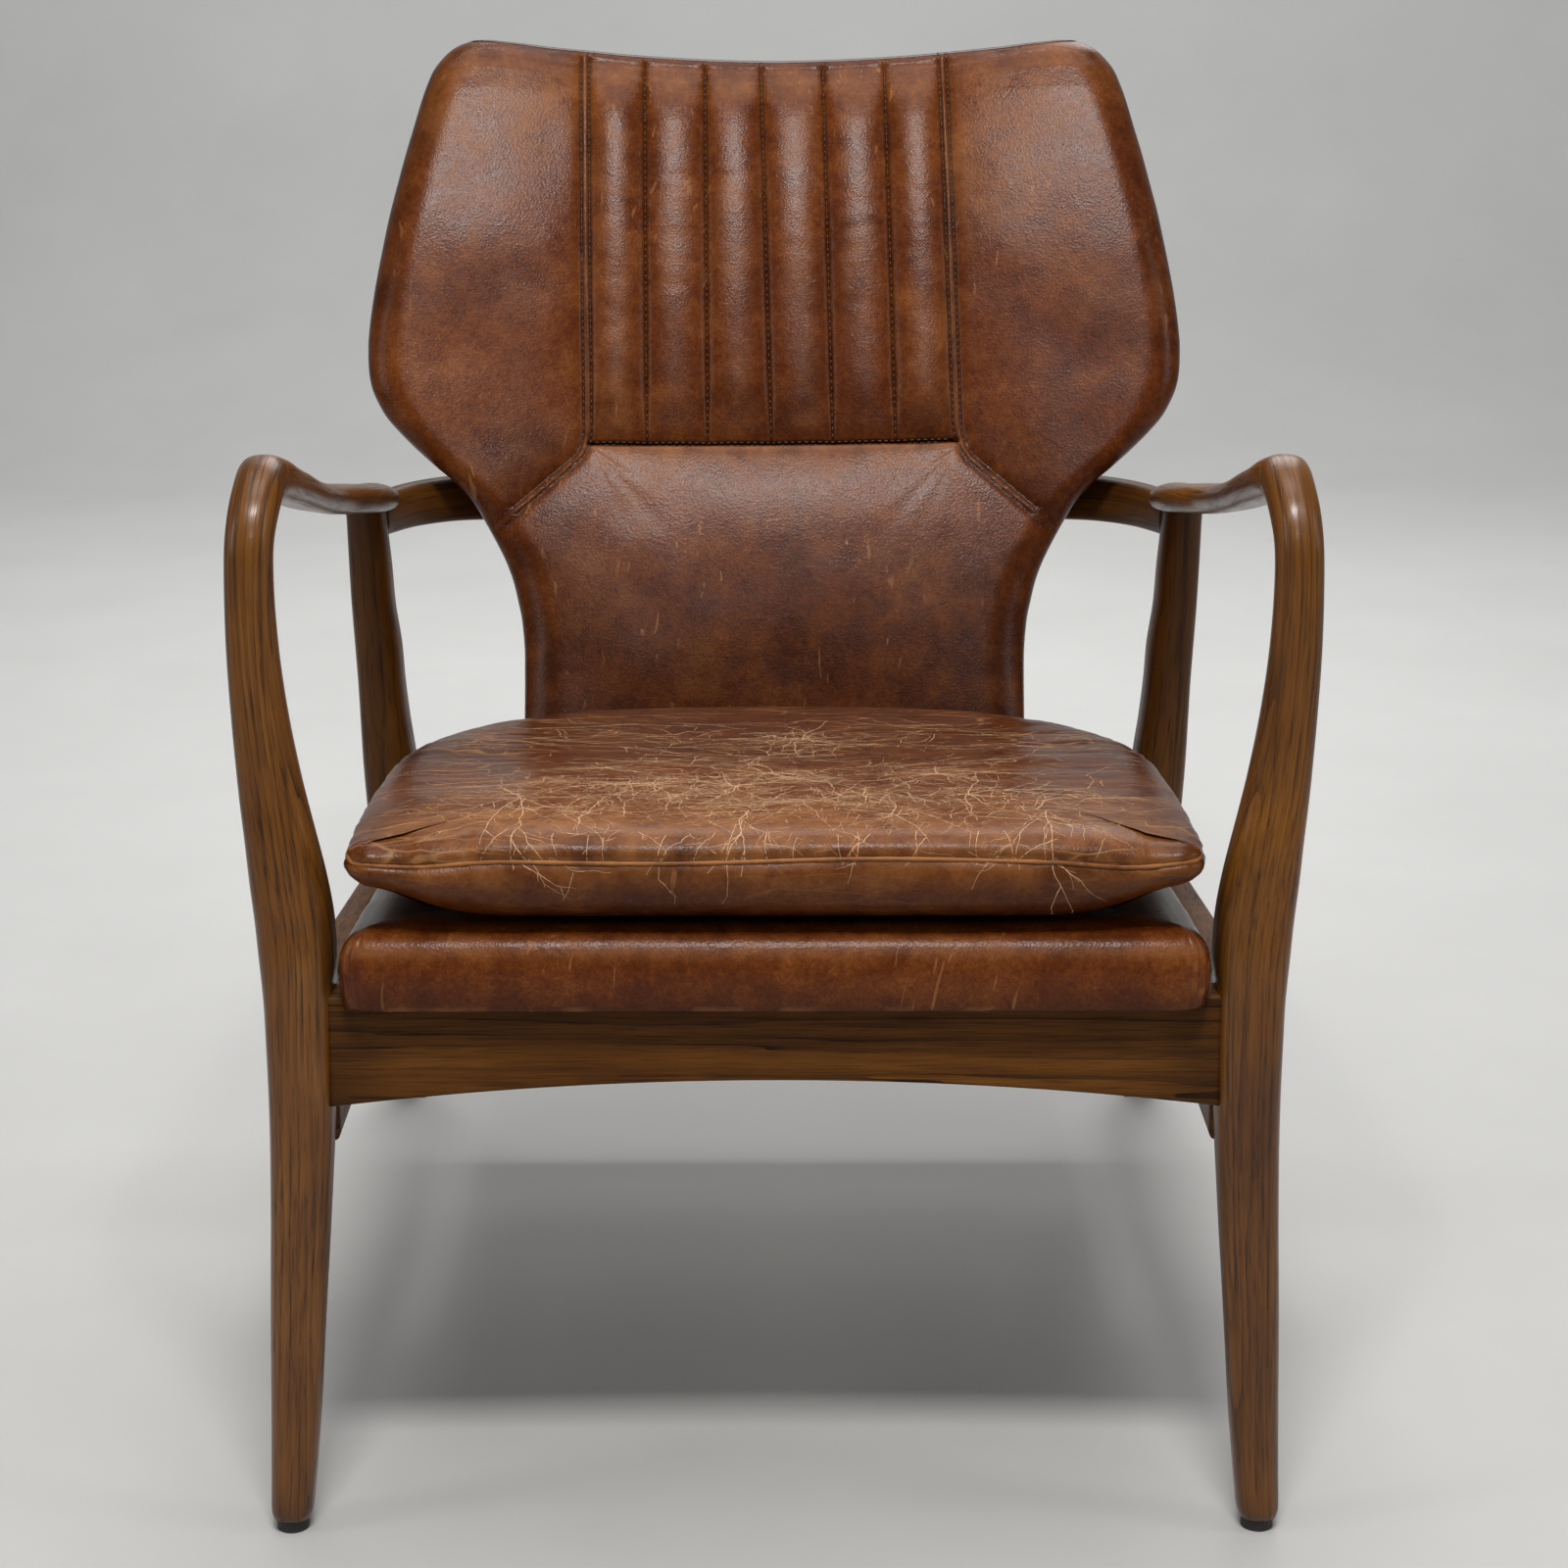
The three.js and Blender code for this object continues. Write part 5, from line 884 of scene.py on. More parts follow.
STARS = [(-102, 174), (-72, 107), (-6, 156), (-57, 76), (-14, 34), (-105, 25), (24, 60), (5, 139), (112, 75), (100, 149), (17, 300), (-134, 114), (-22, 113), (52, 75), (-145, 60), (66, 20), (150, 30)]
def build_cushion():
    # levels: (inset mm, height at depth 0, tag), from the middle of the underside up to the middle of the top
    prof = [(44, 376.2), (30, 377.8), (20, 380.4), (12, 384.6), (6.5, 390.2), (3.2, 396.0), (1.5, 401.5), (0.9, 406.3), (1.3, 410.3), (2.3, 413.0), (3.4, 414.7)]
    seam = (3.8, 415.6)
    topp = [(3.2, 417.0), (2.6, 419.2), (3.6, 422.2), (6.2, 425.4), (10.5, 428.0), (16, 429.8), (24, 431.0), (34, 431.7)]
    rings = []; V = []; tags = []
    Q = CO - CC; rad = np.hypot(Q[:, 0], Q[:, 1])
    def ring(inset, z0, tag):
        P = CO - CN * inset
        x, y = P[:, 0], P[:, 1]
        z = z0 - SL * y
        V.append(np.stack([x, y, z], -1)); tags.append(tag)
    # underside: shrink towards the middle
    base = CO - CN * 44
    for f in (0.0, 0.25, 0.5, 0.75, 0.92):
        P = CC + (base - CC) * max(f, 0.004); V.append(np.stack([P[:, 0], P[:, 1], 375.4 + 0.8 * f - SL * P[:, 1]], -1)); tags.append(("u", 0.0))
    for a, b in prof: ring(a, b, ("f", a))
    ring(*seam, ("s", 0))
    for a, b in topp: ring(a, b, ("t", a))
    base = CO - CN * 34
    for f in np.linspace(0, 1, 84)[1:]:
        P = CC + (base - CC) * max(1 - f, 0.003)
        V.append(np.stack([P[:, 0], P[:, 1], 431.7 - SL * P[:, 1]], -1)); tags.append(("T", f))
    V = np.array(V); R = len(V)
    x, y = V[..., 0], V[..., 1]
    kinds = np.array([t[0] for t in tags])
    top = np.isin(kinds, ["T", "t"]); front = kinds == "f"
    # distance to the outline
    dist = np.zeros((R, NC))
    for i in range(R):
        P = V[i, :, :2]
        d2 = ((P[:, None, :] - CO[None, ::4, :]) ** 2).sum(-1); dist[i] = np.sqrt(d2.min(1))
    s = np.repeat(CS[None], R, 0)
    isfront = smooth(0.2, 0.9, -CN[None, :, 1].repeat(R, 0))
    # crown, a worn hollow where people sit, and sagging folds
    T = top[:, None] * np.ones_like(x)
    crown = 3.2 * smooth(30, 190, dist) - 6.0 * np.exp(-((x / 135) ** 2 + ((y - 250) / 120) ** 2)) + 1.6 * np.exp(-((x / 170) ** 2 + ((y - 45) / 55) ** 2))
    und = 1.7 * n2(x, y, 1 / 95, 1 / 70, 41) + 0.75 * n2(x, y, 1 / 38, 1 / 27, 42)
    # crosswise stretch folds, stronger to the back and the sides
    back = smooth(120, 330, y); sidew = smooth(120, 215, np.abs(x))
    fold = (np.maximum(0, n2(x + 0.25 * y, y + 6 * n2(x, y, 1 / 60, 1 / 60, 45), 1 / 90, 1 / 11, 43)) ** 1.3) * 1.3 + (np.maximum(0, n2(x, y - 0.2 * x, 1 / 60, 1 / 6.5, 44)) ** 1.3) * 0.7
    V[..., 2] += T * smooth(6, 60, dist) * (crown + und) - T * fold * smooth(4, 20, dist) * np.clip(0.25 + 0.8 * back + 0.55 * sidew, 0, 1.2) * (1 - 0.5 * smooth(380, 430, y))
    # puckers: the hide gathers along the seam, more so at the front corners
    cx = np.exp(-((np.abs(x) - 226) / 34) ** 2) * np.exp(-((y + 20) / 42) ** 2)
    pk = puck(s, 1.0, 11.0) * 0.8 + puck(s, 2.0, 5.2) * 0.4
    near = np.exp(-(dist / 15) ** 2)
    amp = (0.55 + 1.7 * cx) * near * (~np.isin(kinds, ["s"]))[:, None]
    V[..., 0] += CN[None, :, 0] * pk * amp; V[..., 1] += CN[None, :, 1] * pk * amp
    V[..., 2] += T * pk * amp * 0.8
    # the seam itself wanders: it dips at the front corners
    dip = -3.2 * np.exp(-((np.abs(x) - 196) / 30) ** 2) * isfront + 1.0 * np.sin(x / 37.0) * isfront - 1.2 * smooth(-60, 160, -x) * isfront
    nearseam = np.exp(-((V[..., 2] + SL * y - 415) / 13) ** 2) * (dist < 20)
    V[..., 2] += dip * nearseam
    # the two panels close on each other at the front corners
    cq = np.exp(-(np.maximum(0, 224 - np.abs(x)) / 36) ** 2) * np.exp(-(np.maximum(0, y + 14) / 60) ** 2)
    ref = 415.6 + dip - SL * y; isseam = (kinds == "s")[:, None]
    V[..., 2] = np.where(isseam, V[..., 2], ref + (V[..., 2] - ref) * (1 - np.where(T > 0, 0.34, 0.52) * cq))
    # front panel bulge and its long horizontal creases
    fz = (V[..., 2] + SL * y - 378) / 37
    bl = 1.5 * n2(s, fz, 1 / 60, 1.2, 51) + 1.1 * n2(s, fz, 1 / 24, 2.6, 52)
    V[..., 0] += CN[None, :, 0] * bl * front[:, None] * np.clip(fz * 3, 0, 1) * np.clip((1 - fz) * 4, 0, 1)
    V[..., 1] += CN[None, :, 1] * bl * front[:, None] * np.clip(fz * 3, 0, 1) * np.clip((1 - fz) * 4, 0, 1)
    # masks
    seamd = np.abs(V[..., 2] + SL * y - 415.6) + 30 * (dist > 14)
    crack = np.where(T > 0, smooth(40, -30, np.hypot(x * 0.66, (y - 80) * 0.95) - 128 + 30 * n2(x, y, 1 / 60, 1 / 60, 61)), 0)
    crack = np.maximum(crack, np.where(T > 0, 0.62 * (1 - smooth(95, 215, y + 26 * n2(x, y, 1 / 50, 1 / 50, 62))) * (1 - smooth(190, 236, np.abs(x))), 0))
    crack = np.maximum(crack, np.where(T > 0, 0.30 * smooth(0.1, 0.6, n2(x, y, 1 / 70, 1 / 70, 63)), 0))
    crack = np.maximum(crack, np.where(front[:, None], 0.55 * isfront * smooth(0.25, 0.8, fz) * smooth(-0.2, 0.5, n2(s, fz * 30, 1 / 36, 1 / 40, 64)), 0))
    crease = np.where(T > 0, np.clip(0.9 * smooth(150, 290, y) + 0.9 * smooth(120, 190, np.abs(x)), 0, 1), 0.15 * isfront)
    wear_and_highlight = np.where(T > 0, 0.62 * np.exp(-((y - 5) / 62) ** 2) * (1 - smooth(200, 240, np.abs(x))) * (0.75 + 0.5 * n2(x, y, 1 / 40, 1 / 25, 65)), 0)
    for cx_, cy_ in STARS:
        wear_and_highlight = np.maximum(wear_and_highlight, np.where(T > 0, 0.46 * np.exp(-(((x - cx_) / 30) ** 2 + ((y - cy_) / 24) ** 2)) * (0.7 + 0.5 * n2(x, y, 1 / 12, 1 / 12, 67)), 0))
    wear_and_highlight = np.maximum(wear_and_highlight, np.where(front[:, None], 0.34 * isfront * smooth(0.35, 0.9, fz), 0))
    wear_and_highlight = np.maximum(wear_and_highlight, 0.85 * np.exp(-(seamd / 1.6) ** 2) * (0.45 + 0.55 * isfront))
    burnish_and_shade = np.where(T > 0, 0.42 * smooth(110, 260, y + 18 * n2(x, y, 1 / 45, 1 / 45, 66)) + 0.35 * smooth(150, 235, np.abs(x)), 0.25 + 0.55 * (1 - isfront))
    # painted shade: darker low on the front panel where it tucks under
    burnish_and_shade = np.maximum(burnish_and_shade, np.where(front[:, None], 0.75 * (1 - smooth(0.05, 0.5, fz)), 0))
    burnish_and_shade = np.maximum(burnish_and_shade, np.where(T > 0, 0.40 * np.exp(-((dist - 3) / 5) ** 2), 0))
    # painted shade over the underside
    burnish_and_shade = np.maximum(burnish_and_shade, np.where((kinds == "u")[:, None], 0.8, 0))
    verts = V.reshape(-1, 3) / 1000; verts[:, 1] -= YM
    F = ringfaces(R, NC)
    c0 = len(verts); verts = np.vstack([verts, verts[:NC].mean(0), verts[(R - 1) * NC:R * NC].mean(0)])
    for kk in range(NC):
        F.append((c0, (kk + 1) % NC, kk)); o = (R - 1) * NC; F.append((o + kk, o + (kk + 1) % NC, c0 + 1))
    F = outward(verts, F)
    ex = lambda a, q=0.0: np.r_[np.clip(a, 0, 1.3).ravel(), q, q]
    ob = make("cushion_cover_hide", verts, F, HIDE_SEAT,
              {"wear_and_highlight": ex(wear_and_highlight), "burnish_and_shade": ex(burnish_and_shade, 0.3), "crack": ex(crack), "crease": ex(crease, 0.5)})
    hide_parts("cushion_cover", "cushion_core")
    # welt line along the seam
    i = list(kinds).index("s")
    P = V[i].copy(); P[:, :2] += CN * 0.5; P = P / 1000; P[:, 1] -= YM
    fr = smooth(0.2, 0.9, -CN[:, 1])
    tube("cushion_welt", P, 0.0013, HIDE_SEAT, closed=True, k=8, wob=0.08,
         attrs={"wear_and_highlight": 0.35 + 0.85 * fr * (0.6 + 0.4 * puck(CS, 5.0, 23.0)), "burnish_and_shade": 0.3 * (1 - fr), "crack": np.zeros(NC), "crease": np.zeros(NC)})
    return ob
SEAT = build_cushion()

# ------------------------------------------------------------------ cracks in the seat hide, as fine flat threads of bare fibre
from mathutils.bvhtree import BVHTree
def tree_of(ob):
    me = ob.data; return BVHTree.FromPolygons([v.co[:] for v in me.vertices], [p.vertices[:] for p in me.polygons])

def threads(name, lines, mat, lift=0.00012):
    """lines: list of (points (n,3), normals (n,3), widths (n,)) in metres, laid as flat ribbons."""
    V, F, off = [], [], 0
    for P, U, W in lines:
        n = len(P)
        if n < 3: continue
        T = np.gradient(P, axis=0); T /= np.linalg.norm(T, axis=1)[:, None] + 1e-12
        S = np.cross(U, T); S /= np.linalg.norm(S, axis=1)[:, None] + 1e-12
        for i in range(n):
            c = P[i] + U[i] * lift; w = S[i] * W[i] / 2
            V += [c - w, c + U[i] * W[i] * 0.12, c + w]
        for i in range(n - 1):
            a = off + 3 * i
            F += [(a, a + 1, a + 4, a + 3), (a + 1, a + 2, a + 5, a + 4)]
        off += 3 * n
    ob = make(name, np.array(V), F, mat)
    return ob

SEAT_TREE = tree_of(SEAT)
def seat_hit(u, v):
    """u across in mm, v along the hide in mm: positive runs back over the top, negative runs down the front panel."""
    if v > 18: A, ph = (u, -30 + v, 440), 0.0
    elif v > -8: ph = math.radians(80 * (18 - v) / 26); A = (u, -30 + max(v, 6), 428 if v > 6 else 420 + v)
    else: A, ph = (u, -20, 418 + (v + 8)), math.radians(88)
    d = Vector((0, math.sin(ph), -math.cos(ph)))
    a = Vector((A[0] / 1000, A[1] / 1000 - YM, (A[2] - SL * A[1]) / 1000))
    hit, nor, idx, _ = SEAT_TREE.ray_cast(a - d * 0.09, d)
    if hit is None: return None
    if nor.dot(d) > 0: nor = -nor
    return hit, nor

def crack_lines():
    L = []
    r = np.random.RandomState(23)
    def walk(u, v, ang, length, w, depth, step=2.2, wob=0.12, straight=0.0):
        P, U, W = [], [], []; n = max(3, int(length / step)); a = ang; home = ang
        for i in range(n):
            q = seat_hit(u, v)
            if q is None or abs(u) > 236: break
            P.append(q[0][:]); U.append(q[1][:])
            t = i / (n - 1); W.append(w * (0.35 + 0.65 * (1 - t)) * (0.75 + 0.5 * r.rand()) * (1 if i else 0.5))
            a += r.randn() * wob + (home - a) * 0.16
            if r.rand() < 0.05: a += r.randn() * 0.35
            u += math.cos(a) * step; v += math.sin(a) * step * 0.92
            if v > 455: break
            if depth > 0 and r.rand() < 0.085: walk(u, v, a + r.choice([-1, 1]) * (0.5 + 0.6 * r.rand()), length * (0.18 + 0.35 * r.rand()), w * 0.7, depth - 1)
        if len(P) > 2: L.append((np.array(P), np.array(U), np.array(W) / 1000))
    # star bursts
    for cx, cy in STARS:
        m = r.randint(6, 11); a0 = r.rand() * 6.28; big = 0.7 + 0.7 * r.rand()
        for k in range(m):
            a = a0 + 2 * math.pi * k / m + r.randn() * 0.25
            ln = big * (14 + 34 * r.rand() ** 1.3) * (1.0 + 1.15 * abs(math.sin(a)))
            walk(cx + r.randn() * 1.5, cy + 30 + r.randn() * 1.5, a, ln, 0.66 * (0.6 + 0.6 * r.rand()), 2, wob=0.09)
    # long cracks that run across the seat and up to the back
    for k in range(120):
        u, v = r.uniform(-190, 190), 60 + 330 * r.rand() ** 1.1
        walk(u, v, r.choice([0, math.pi]) + r.randn() * 0.32, 34 + 90 * r.rand() ** 1.5, 0.54, 1, wob=0.07)
    for k in range(64):
        u, v = r.uniform(-150, 150), 30 + 120 * r.rand()
        walk(u, v, math.pi / 2 * r.choice([-1, 1]) + r.randn() * 0.6, 25 + 70 * r.rand(), 0.48, 1, wob=0.08)
    # runs down over the seam into the front panel
    for u0, ln in ((-44, 44), (-38, 30), (-58, 34), (38, 42), (30, 26), (52, 30), (121, 34), (112, 30), (134, 26), (-101, 22), (-120, 18), (-8, 26), (78, 22), (-78, 26)):
        walk(u0 + r.randn() * 3, 12 + 6 * r.rand(), -math.pi / 2 + r.randn() * 0.30, ln + 4, 0.46, 2, wob=0.09)
    # fine crazing
    for k in range(1500):
        if r.rand() < 0.72:
            cx, cy = STARS[r.randint(len(STARS))]; u, v = cx + r.randn() * 26, cy + 30 + r.randn() * 20
        else: u, v = r.uniform(-205, 205), 8 + 380 * r.rand() ** 1.3
        if v < -30: continue
        walk(u, v, r.rand() * 6.28, 6 + 18 * r.rand(), 0.35, 0, step=2.2, wob=0.20)
    return L
FIBRE = simple("bare_fibre", (0.62, 0.38, 0.205), 0.78, 0, 260, 0.35, 0.3, 0.0002)
threads("cushion_cracks", crack_lines(), FIBRE)

# the zip at the back of the cushion
def build_zip():
    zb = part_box("cushion_zip"); xw = (zb[1].x - zb[0].x) / 2; zc = (zb[0].z + zb[1].z) / 2
    idx = [k for k in range(NC) if abs(CO[k, 0]) <= xw * 1000 and CO[k, 1] > 300]
    idx.sort(key=lambda k: CO[k, 0])
    P = []
    for k in idx:
        y = CO[k, 1]; P.append([CO[k, 0] + CN[k, 0] * 0.6, y + CN[k, 1] * 0.6, 405.0 - SL * y])
    P = np.array(P) / 1000; P[:, 1] -= YM
    N = np.array([[CN[k, 0], CN[k, 1], 0] for k in idx])
    V, F = [], []
    for i in range(len(P)):
        for dz, o in ((-0.0070, -0.0006), (-0.0064, 0.0010), (-0.0022, 0.0014), (0, 0.0008), (0.0022, 0.0014), (0.0064, 0.0010), (0.0070, -0.0006), (0, -0.0014)):
            V.append(P[i] + N[i] * o + [0, 0, dz])
    k = 8; F = ringfaces(len(P), k) + [tuple(range(k))[::-1], tuple((len(P) - 1) * k + j for j in range(k))]
    V = np.array(V); F = outward(V, F)
    tape = make("cushion_zip_tape", V, F, CLOTHM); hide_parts("cushion_zip")
    a = P + N * 0.0012 + [0, 0, 0.0010]; b = P + N * 0.0012 - [0, 0, 0.0010]
    d = np.r_[0, np.cumsum(np.linalg.norm(np.diff(P, axis=0), axis=1))]
    tv, tf, off = [], [], 0
    for q_i, q in enumerate(np.arange(0.002, d[-1] - 0.002, 0.0016)):
        c = np.array([np.interp(q, d, P[:, j]) for j in range(3)]); n_ = np.array([np.interp(q, d, N[:, j]) for j in range(3)]); n_ /= np.linalg.norm(n_)
        t = np.cross([0, 0, 1.0], n_); sg = 1 if q_i % 2 else -1
        c = c + n_ * 0.0016 + np.array([0, 0, 0.0007 * sg])
        for sx in (-0.00055, 0.00055):
            for dz, dn in ((-0.0018, -0.0006), (0.0018, -0.0006), (0.0014, 0.0007), (-0.0014, 0.0007)):
                tv.append(c + t * sx + n_ * dn + np.array([0, 0, dz]))
        tf += [(off, off + 1, off + 2, off + 3), (off + 7, off + 6, off + 5, off + 4)] + [(off + j, off + 4 + j, off + 4 + (j + 1) % 4, off + (j + 1) % 4) for j in range(4)]
        off += 8
    make("cushion_zip_teeth", np.array(tv), outward(np.array(tv), tf), ZIPM, smooth_faces=False)
build_zip()

# ------------------------------------------------------------------ the leather platform under the cushion
def build_deck():
    FR0 = 335.1; yf, yb, hw_, rf, rb = -22.0, 565.0, 242.0, 17.0, 20.0
    P = []
    def arc(cx, cy, r, a0, n):
        for t in np.linspace(a0, a0 + 90, n): P.append((cx + r * math.cos(math.radians(t)), cy + r * math.sin(math.radians(t))))
    for x in np.linspace(-hw_ + rf, hw_ - rf, 150)[:-1]: P.append((x, yf))
    arc(hw_ - rf, yf + rf, rf, -90, 26)
    for y in np.linspace(yf + rf, yb - rb, 90)[1:-1]: P.append((hw_, y))
    arc(hw_ - rb, yb - rb, rb, 0, 8)
    for x in np.linspace(hw_ - rb, -hw_ + rb, 60)[1:-1]: P.append((x, yb))
    arc(-hw_ + rb, yb - rb, rb, 90, 8)
    for y in np.linspace(yb - rb, yf + rf, 90)[1:-1]: P.append((-hw_, y))
    arc(-hw_ + rf, yf + rf, rf, 180, 26)
    P = np.array(P[:-1]); n = len(P)
    t = np.roll(P, -1, 0) - np.roll(P, 1, 0); t /= np.hypot(t[:, 0], t[:, 1])[:, None]; N = np.stack([t[:, 1], -t[:, 0]], -1)
    s = np.r_[0, np.cumsum(np.hypot(*np.diff(P, axis=0).T))]
    lev = [(15.6, 336.0), (15.4, 331.5), (14.8, 327.4), (9, 326.3), (4.5, 326.0), (2.0, 326.8), (0.8, 328.4), (0.35, 330.2), (0.1, 333), (-0.4, 337), (-0.9, 342), (-1.0, 347), (-0.7, 352), (0.1, 356.5), (1.3, 360.4), (3.0, 363.8), (5.2, 366.7), (8, 369.0), (11.5, 371.0), (14.5, 372.4), (16.8, 373.3)]
    V = []
    corner = np.exp(-((np.abs(P[:, 0]) - (hw_ - 6)) / 15) ** 2) * np.exp(-((P[:, 1] - yf - 5) / 17) ** 2)
    for ins, z0 in lev:
        Q = P - N * ins; z = z0 - SL * Q[:, 1]
        onfront = smooth(0, 1, (-5.8 - Q[:, 1]) / 0.6) if False else (P[:, 1] < -6.2).astype(float)
        floor_ = FR0 + 0.5 - SL * Q[:, 1]
        z = np.where(Q[:, 1] < -5.4, z, np.maximum(z, floor_))
        # folded pleats at the two front corners, and a slightly uneven pull along the front
        f = (z0 - 326) / 48.0
        pl = np.zeros(n)
        for c0, w0, a0 in ((0.18, 0.05, 1.5), (0.42, 0.06, 1.1), (0.70, 0.05, 1.5), (0.9, 0.05, 0.9)):
            for sg in (-1, 1):
                ang = np.degrees(np.arctan2(P[:, 1] - (yf + rf), sg * P[:, 0] - (hw_ - rf))); u = (ang + 90) / 90 - c0 - 0.10 * (f - 0.5)
                inside = (sg * P[:, 0] > hw_ - rf - 4) & (P[:, 1] < yf + rf + 4)
                pl -= np.where(inside, a0 * np.exp(-(u / w0) ** 2), 0)
        pull = 0.45 * (vnoise(np.stack([s / 30, np.full(n, 3.0 + f * 1.5), np.full(n, 0.5)], -1)) * 2 - 1) + 0.35 * (vnoise(np.stack([s / 11, np.full(n, 7.0 + f * 1.2), np.full(n, 0.5)], -1)) * 2 - 1)
        m = smooth(0.05, 0.25, f) * (1 - smooth(0.90, 1.0, f)) * (1 if ins < 10 else 0)
        Q = Q + N * ((pl * (0.4 + 0.6 * (1 - abs(f - 0.5))) + pull) * m)[:, None]
        V.append(np.stack([Q[:, 0], Q[:, 1], z], -1))
    c = np.array([0, 260.0]); base = P - N * 16.8
    for f in np.linspace(0, 1, 26)[1:]:
        Q = c + (base - c) * max(1 - f, 0.004)
        z = 374.2 - SL * Q[:, 1] - 1.6 * smooth(0, 0.3, f) + 0.4 * n2(Q[:, 0], Q[:, 1], 1 / 60, 1 / 60, 71)
        V.append(np.stack([Q[:, 0], Q[:, 1], z], -1))
    # underside, drawn in to the middle
    base = P - N * 15.6; und = []
    for f in (0.004, 0.5, 0.97):
        Q = c + (base - c) * f; und.append(np.stack([Q[:, 0], Q[:, 1], FR0 + 1.0 - SL * Q[:, 1]], -1))
    V = np.array(und + V); R = len(V)
    x, y, z = V[..., 0], V[..., 1], V[..., 2] + SL * V[..., 1]
    fr = (N[None, :, 1] < -0.4) * np.ones_like(x)
    # a painted highlight line along the deck's rounded top-front edge; real nicks along its bottom edge
    wear_and_highlight = 0.34 * fr * np.exp(-((z - 362) / 5.0) ** 2) + 0.9 * fr * np.exp(-((z - 327.5) / 1.6) ** 2) * (n2(x, y, 1 / 14, 1 / 14, 73) > 0.35)
    cor = np.exp(-((np.abs(x) - (hw_ - 5)) / 9) ** 2) * (y < 0)
    wear_and_highlight = np.maximum(wear_and_highlight, 0.8 * cor * np.exp(-((z - 350) / 16) ** 2) * smooth(0.0, 0.6, n2(x + z, z, 1 / 5, 1 / 9, 74)))
    # painted shade: darker on the top under the cushion and more so towards the back, low on the front face, and on the
    # sides and back
    burnish_and_shade = np.where(z > 368, 0.25, 0.12) + 0.35 * (1 - smooth(328, 346, z)) + 0.45 * (1 - fr) * (z < 372)
    burnish_and_shade = np.maximum(burnish_and_shade, (z > 370) * smooth(10, 60, y) * 0.7)
    verts = V.reshape(-1, 3) / 1000; verts[:, 1] -= YM
    F = ringfaces(R, n); c0 = len(verts); verts = np.vstack([verts, verts[:n].mean(0), verts[(R - 1) * n:R * n].mean(0)])
    for k in range(n):
        F.append((c0, (k + 1) % n, k)); o = (R - 1) * n; F.append((o + k, o + (k + 1) % n, c0 + 1))
    F = outward(verts, F)
    ob = make("deck_cover_hide", verts, F, HIDE_DECK, {"wear_and_highlight": np.r_[np.clip(wear_and_highlight, 0, 1.2).ravel(), 0, 0], "burnish_and_shade": np.r_[np.clip(burnish_and_shade, 0, 1).ravel(), 0.5, 0.5]})
    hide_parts("deck_cover", "deck_foam")
build_deck()

# ------------------------------------------------------------------ dust cloth under the seat
def build_dust():
    a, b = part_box("dust_cloth"); nx, ny = 60, 70
    xs = np.linspace(a.x + 0.001, b.x - 0.001, nx); ys = np.linspace(a.y + 0.001, b.y - 0.001, ny); X, Y = np.meshgrid(xs, ys)
    zc = 0.3352 - SL * (Y + YM)
    fx = 1 - np.abs((X - xs.mean()) / (xs[-1] - xs[0]) * 2) ** 4; fy = 1 - np.abs((Y - ys.mean()) / (ys[-1] - ys[0]) * 2) ** 4
    lo = min(a.z + SL * (a.y + YM), 0.336)
    Z = zc - 0.0045 * fx * fy + 0.0006 * n2(X * 1000, Y * 1000, 1 / 30, 1 / 30, 81) * fx * fy
    up = np.stack([X, Y, Z], -1).reshape(-1, 3); dn = up - [0, 0, 0.0008]; n = nx * ny
    V = np.concatenate([up, dn]); F = []
    for i in range(ny - 1):
        for j in range(nx - 1):
            q = (i * nx + j, i * nx + j + 1, (i + 1) * nx + j + 1, (i + 1) * nx + j); F.append(q); F.append(tuple(n + k for k in reversed(q)))
    B = list(range(nx)) + [i * nx + nx - 1 for i in range(1, ny)] + [(ny - 1) * nx + j for j in range(nx - 2, -1, -1)] + [i * nx for i in range(ny - 2, 0, -1)]
    for q in range(len(B)): F.append((B[q], n + B[q], n + B[(q + 1) % len(B)], B[(q + 1) % len(B)]))
    ob = make("dust_cloth_sheet", V, outward(V, F), CLOTHM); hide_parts("dust_cloth")
build_dust()

# ------------------------------------------------------------------ materials of the carried-over CAD nodes
for name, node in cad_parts.items():
    if node.hide_render: continue
    if "dowel" in name or "corner_block" in name or "batten" in name: m = RAW
    elif name == "back_shell": m = PLY
    elif "foam" in name or "core" in name: m = FOAMM
    elif "webbing" in name: m = WEBM
    elif "glide" in name: m = GLIDEM
    elif "spacer" in name: m = GLIDEM
    elif "screw" in name or "bolt" in name or "plate" in name: m = STEELM
    elif "zip" in name: m = ZIPM
    elif "cloth" in name: m = CLOTHM
    elif "cover" in name or "panel" in name: m = HIDE_REAR
    else: m = ASH_SHADED
    node.data.materials.clear(); node.data.materials.append(m)
    if "glide" in name or "spacer" in name or "bolt" in name or "screw" in name:
        node.data.polygons.foreach_set("use_smooth", [True] * len(node.data.polygons))
        bv = node.modifiers.new("edge", "BEVEL"); bv.width = 0.0006; bv.segments = 2; bv.limit_method = "ANGLE"

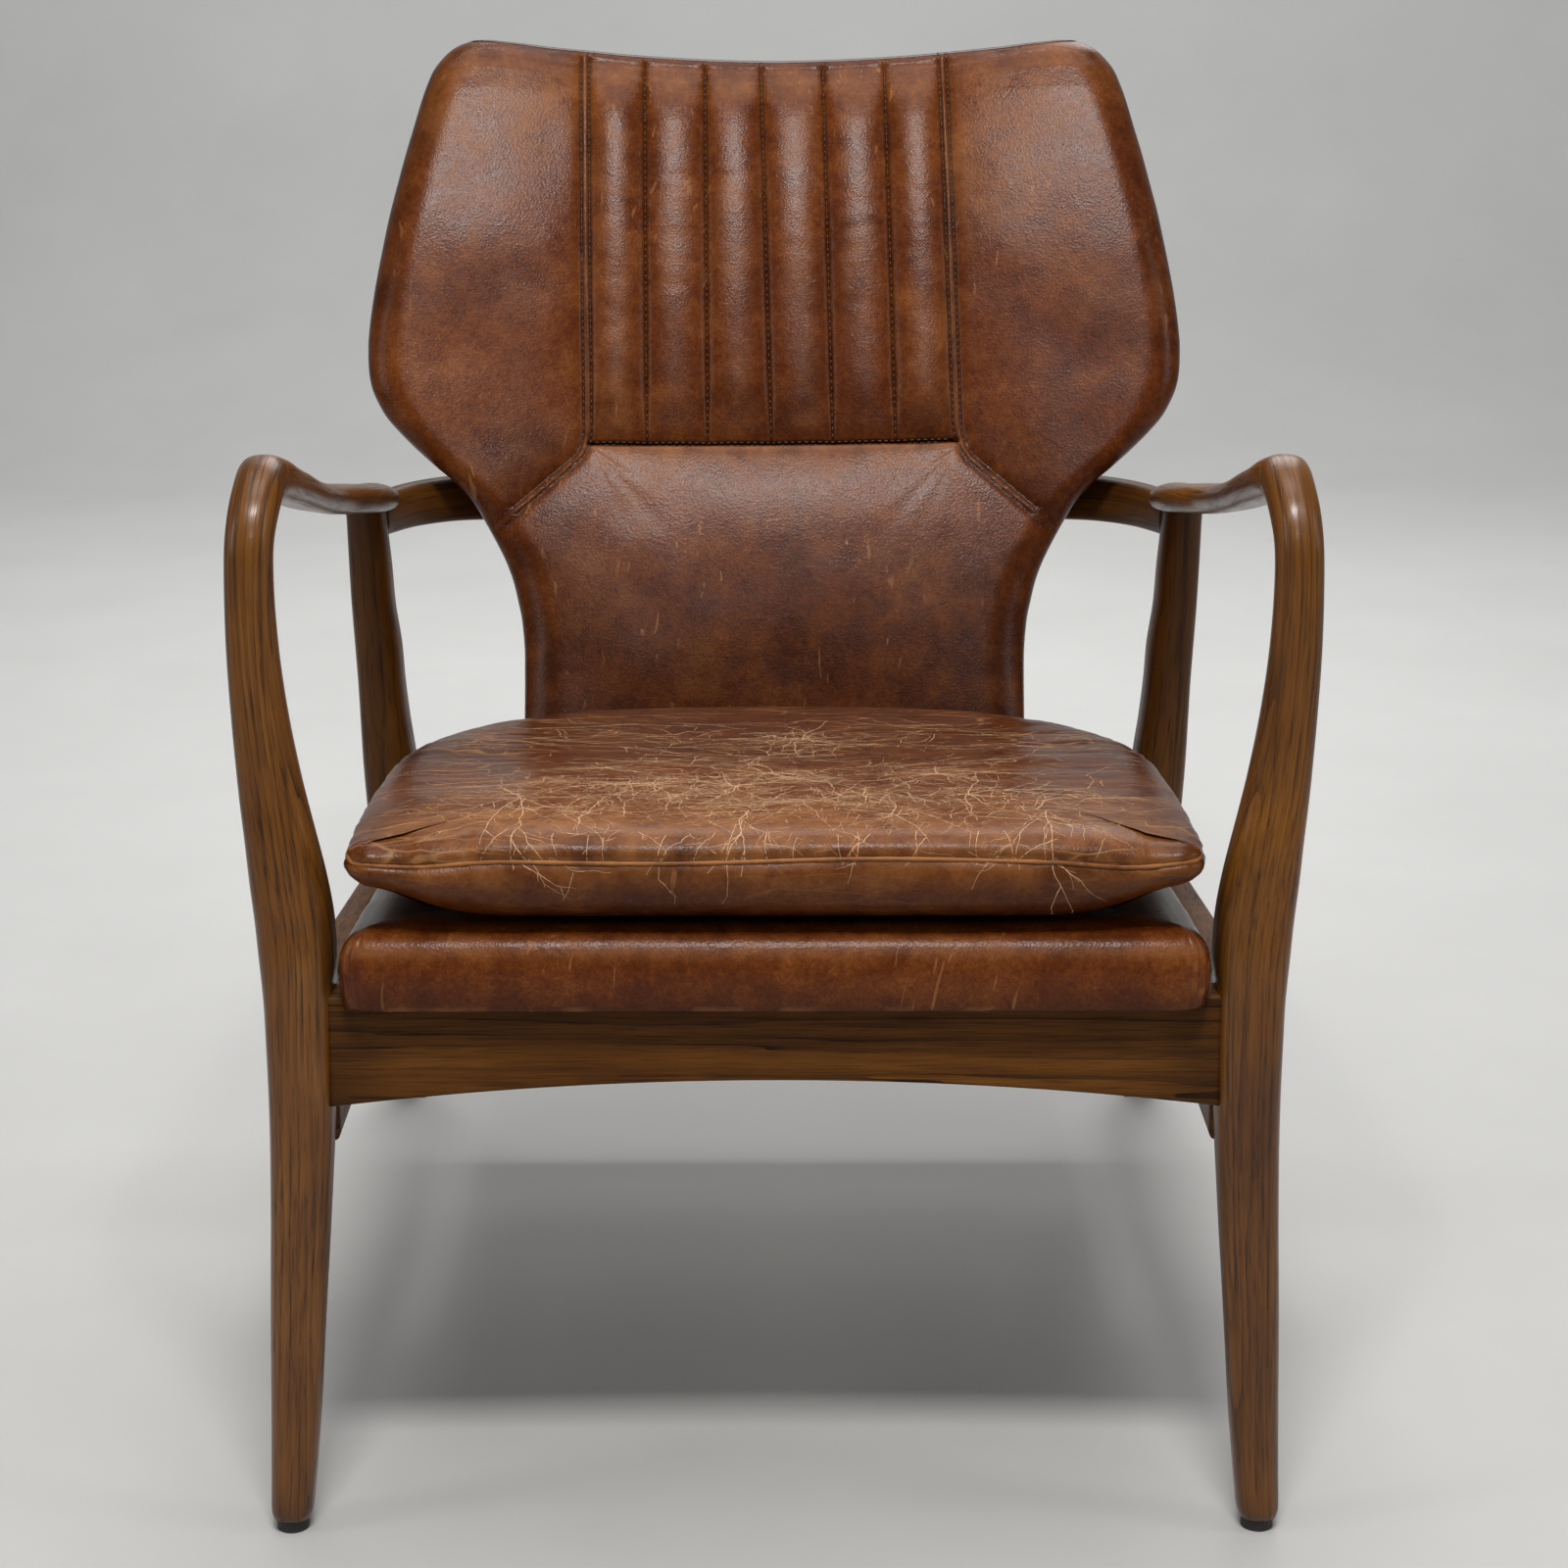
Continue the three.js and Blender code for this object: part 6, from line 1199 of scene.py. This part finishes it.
# ------------------------------------------------------------------ floor, light, camera
floor_m = simple("pale_floor", (0.56, 0.56, 0.55), 0.75, 0, 3, 0.03, 0.02, 0.0005)
me = bpy.data.meshes.new("floor"); S = 14.0; R_ = 1.6; V = [(-S, -S, -0.0003), (S, -S, -0.0003)]; F = []
for i in range(13):
    t = math.pi / 2 * i / 12; y_ = 3.2 + R_ * math.sin(t); z_ = -0.0003 + R_ * (1 - math.cos(t)); V += [(-S, y_, z_), (S, y_, z_)]
V += [(-S, 3.2 + R_, 9), (S, 3.2 + R_, 9)]
F = [(2 * i, 2 * i + 1, 2 * i + 3, 2 * i + 2) for i in range(len(V) // 2 - 1)]
me.from_pydata(V, [], F); me.update(); me.materials.append(floor_m)
me.polygons.foreach_set("use_smooth", [True] * len(me.polygons))
floor = bpy.data.objects.new("floor", me); scene.collection.objects.link(floor); floor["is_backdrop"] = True

def area(name, loc, target, size, power, col=(1, 1, 1), sy=None):
    L = bpy.data.lights.new(name, "AREA"); L.shape = "RECTANGLE"; L.size = size; L.size_y = sy or size; L.energy = power; L.color = col
    o = bpy.data.objects.new(name, L); scene.collection.objects.link(o); o.location = loc
    o.rotation_euler = (Vector(target) - Vector(loc)).to_track_quat("-Z", "Y").to_euler(); o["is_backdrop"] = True; return o
area("key", (0.0, -1.60, 2.65), (0, 0.05, 0.55), 0.8, 50, (1, 0.985, 0.965), 0.36)
area("front", (0.05, -2.70, 1.95), (0, 0.1, 0.50), 0.40, 5, (1, 0.985, 0.97), 0.22)
area("top", (0.0, -0.2, 3.1), (0, 0.0, 0.4), 1.6, 20, (1, 0.99, 0.98), 1.2)
area("left", (-2.5, -1.1, 1.4), (0, 0, 0.5), 0.6, 10, (1, 0.985, 0.97), 1.3)
area("right", (2.5, -0.9, 1.5), (0, 0, 0.5), 0.6, 9, (1, 0.985, 0.97), 1.3)
area("rear", (0.3, 2.4, 2.4), (0, 0.1, 0.5), 1.8, 26, (1, 0.99, 0.98))
area("wall", (0.0, 0.9, 3.2), (0, 4.6, 1.2), 2.6, 90, (1, 1, 1), 0.8)
w = bpy.data.worlds.new("studio"); scene.world = w; w.use_nodes = True
w.node_tree.nodes["Background"].inputs[0].default_value = (0.95, 0.97, 1.0, 1); w.node_tree.nodes["Background"].inputs[1].default_value = 0.16

cam = bpy.data.cameras.new("camera"); cam.lens = 67.5; cam.sensor_width = 36; cam.sensor_fit = "HORIZONTAL"; cam.clip_end = 60
co = bpy.data.objects.new("camera", cam); scene.collection.objects.link(co)
co.location = (0.0, -1.9010, 0.8883); co.rotation_euler = (math.radians(74.38), 0, math.radians(-0.19)); cam.dof.use_dof = False
scene.camera = co; co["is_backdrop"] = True

bpy.context.view_layer.update()
box2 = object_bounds()
flat = lambda b: [[float(v) for v in p] for p in b]
{"cad": flat(CAD_BOX), "visual": flat(box2)}
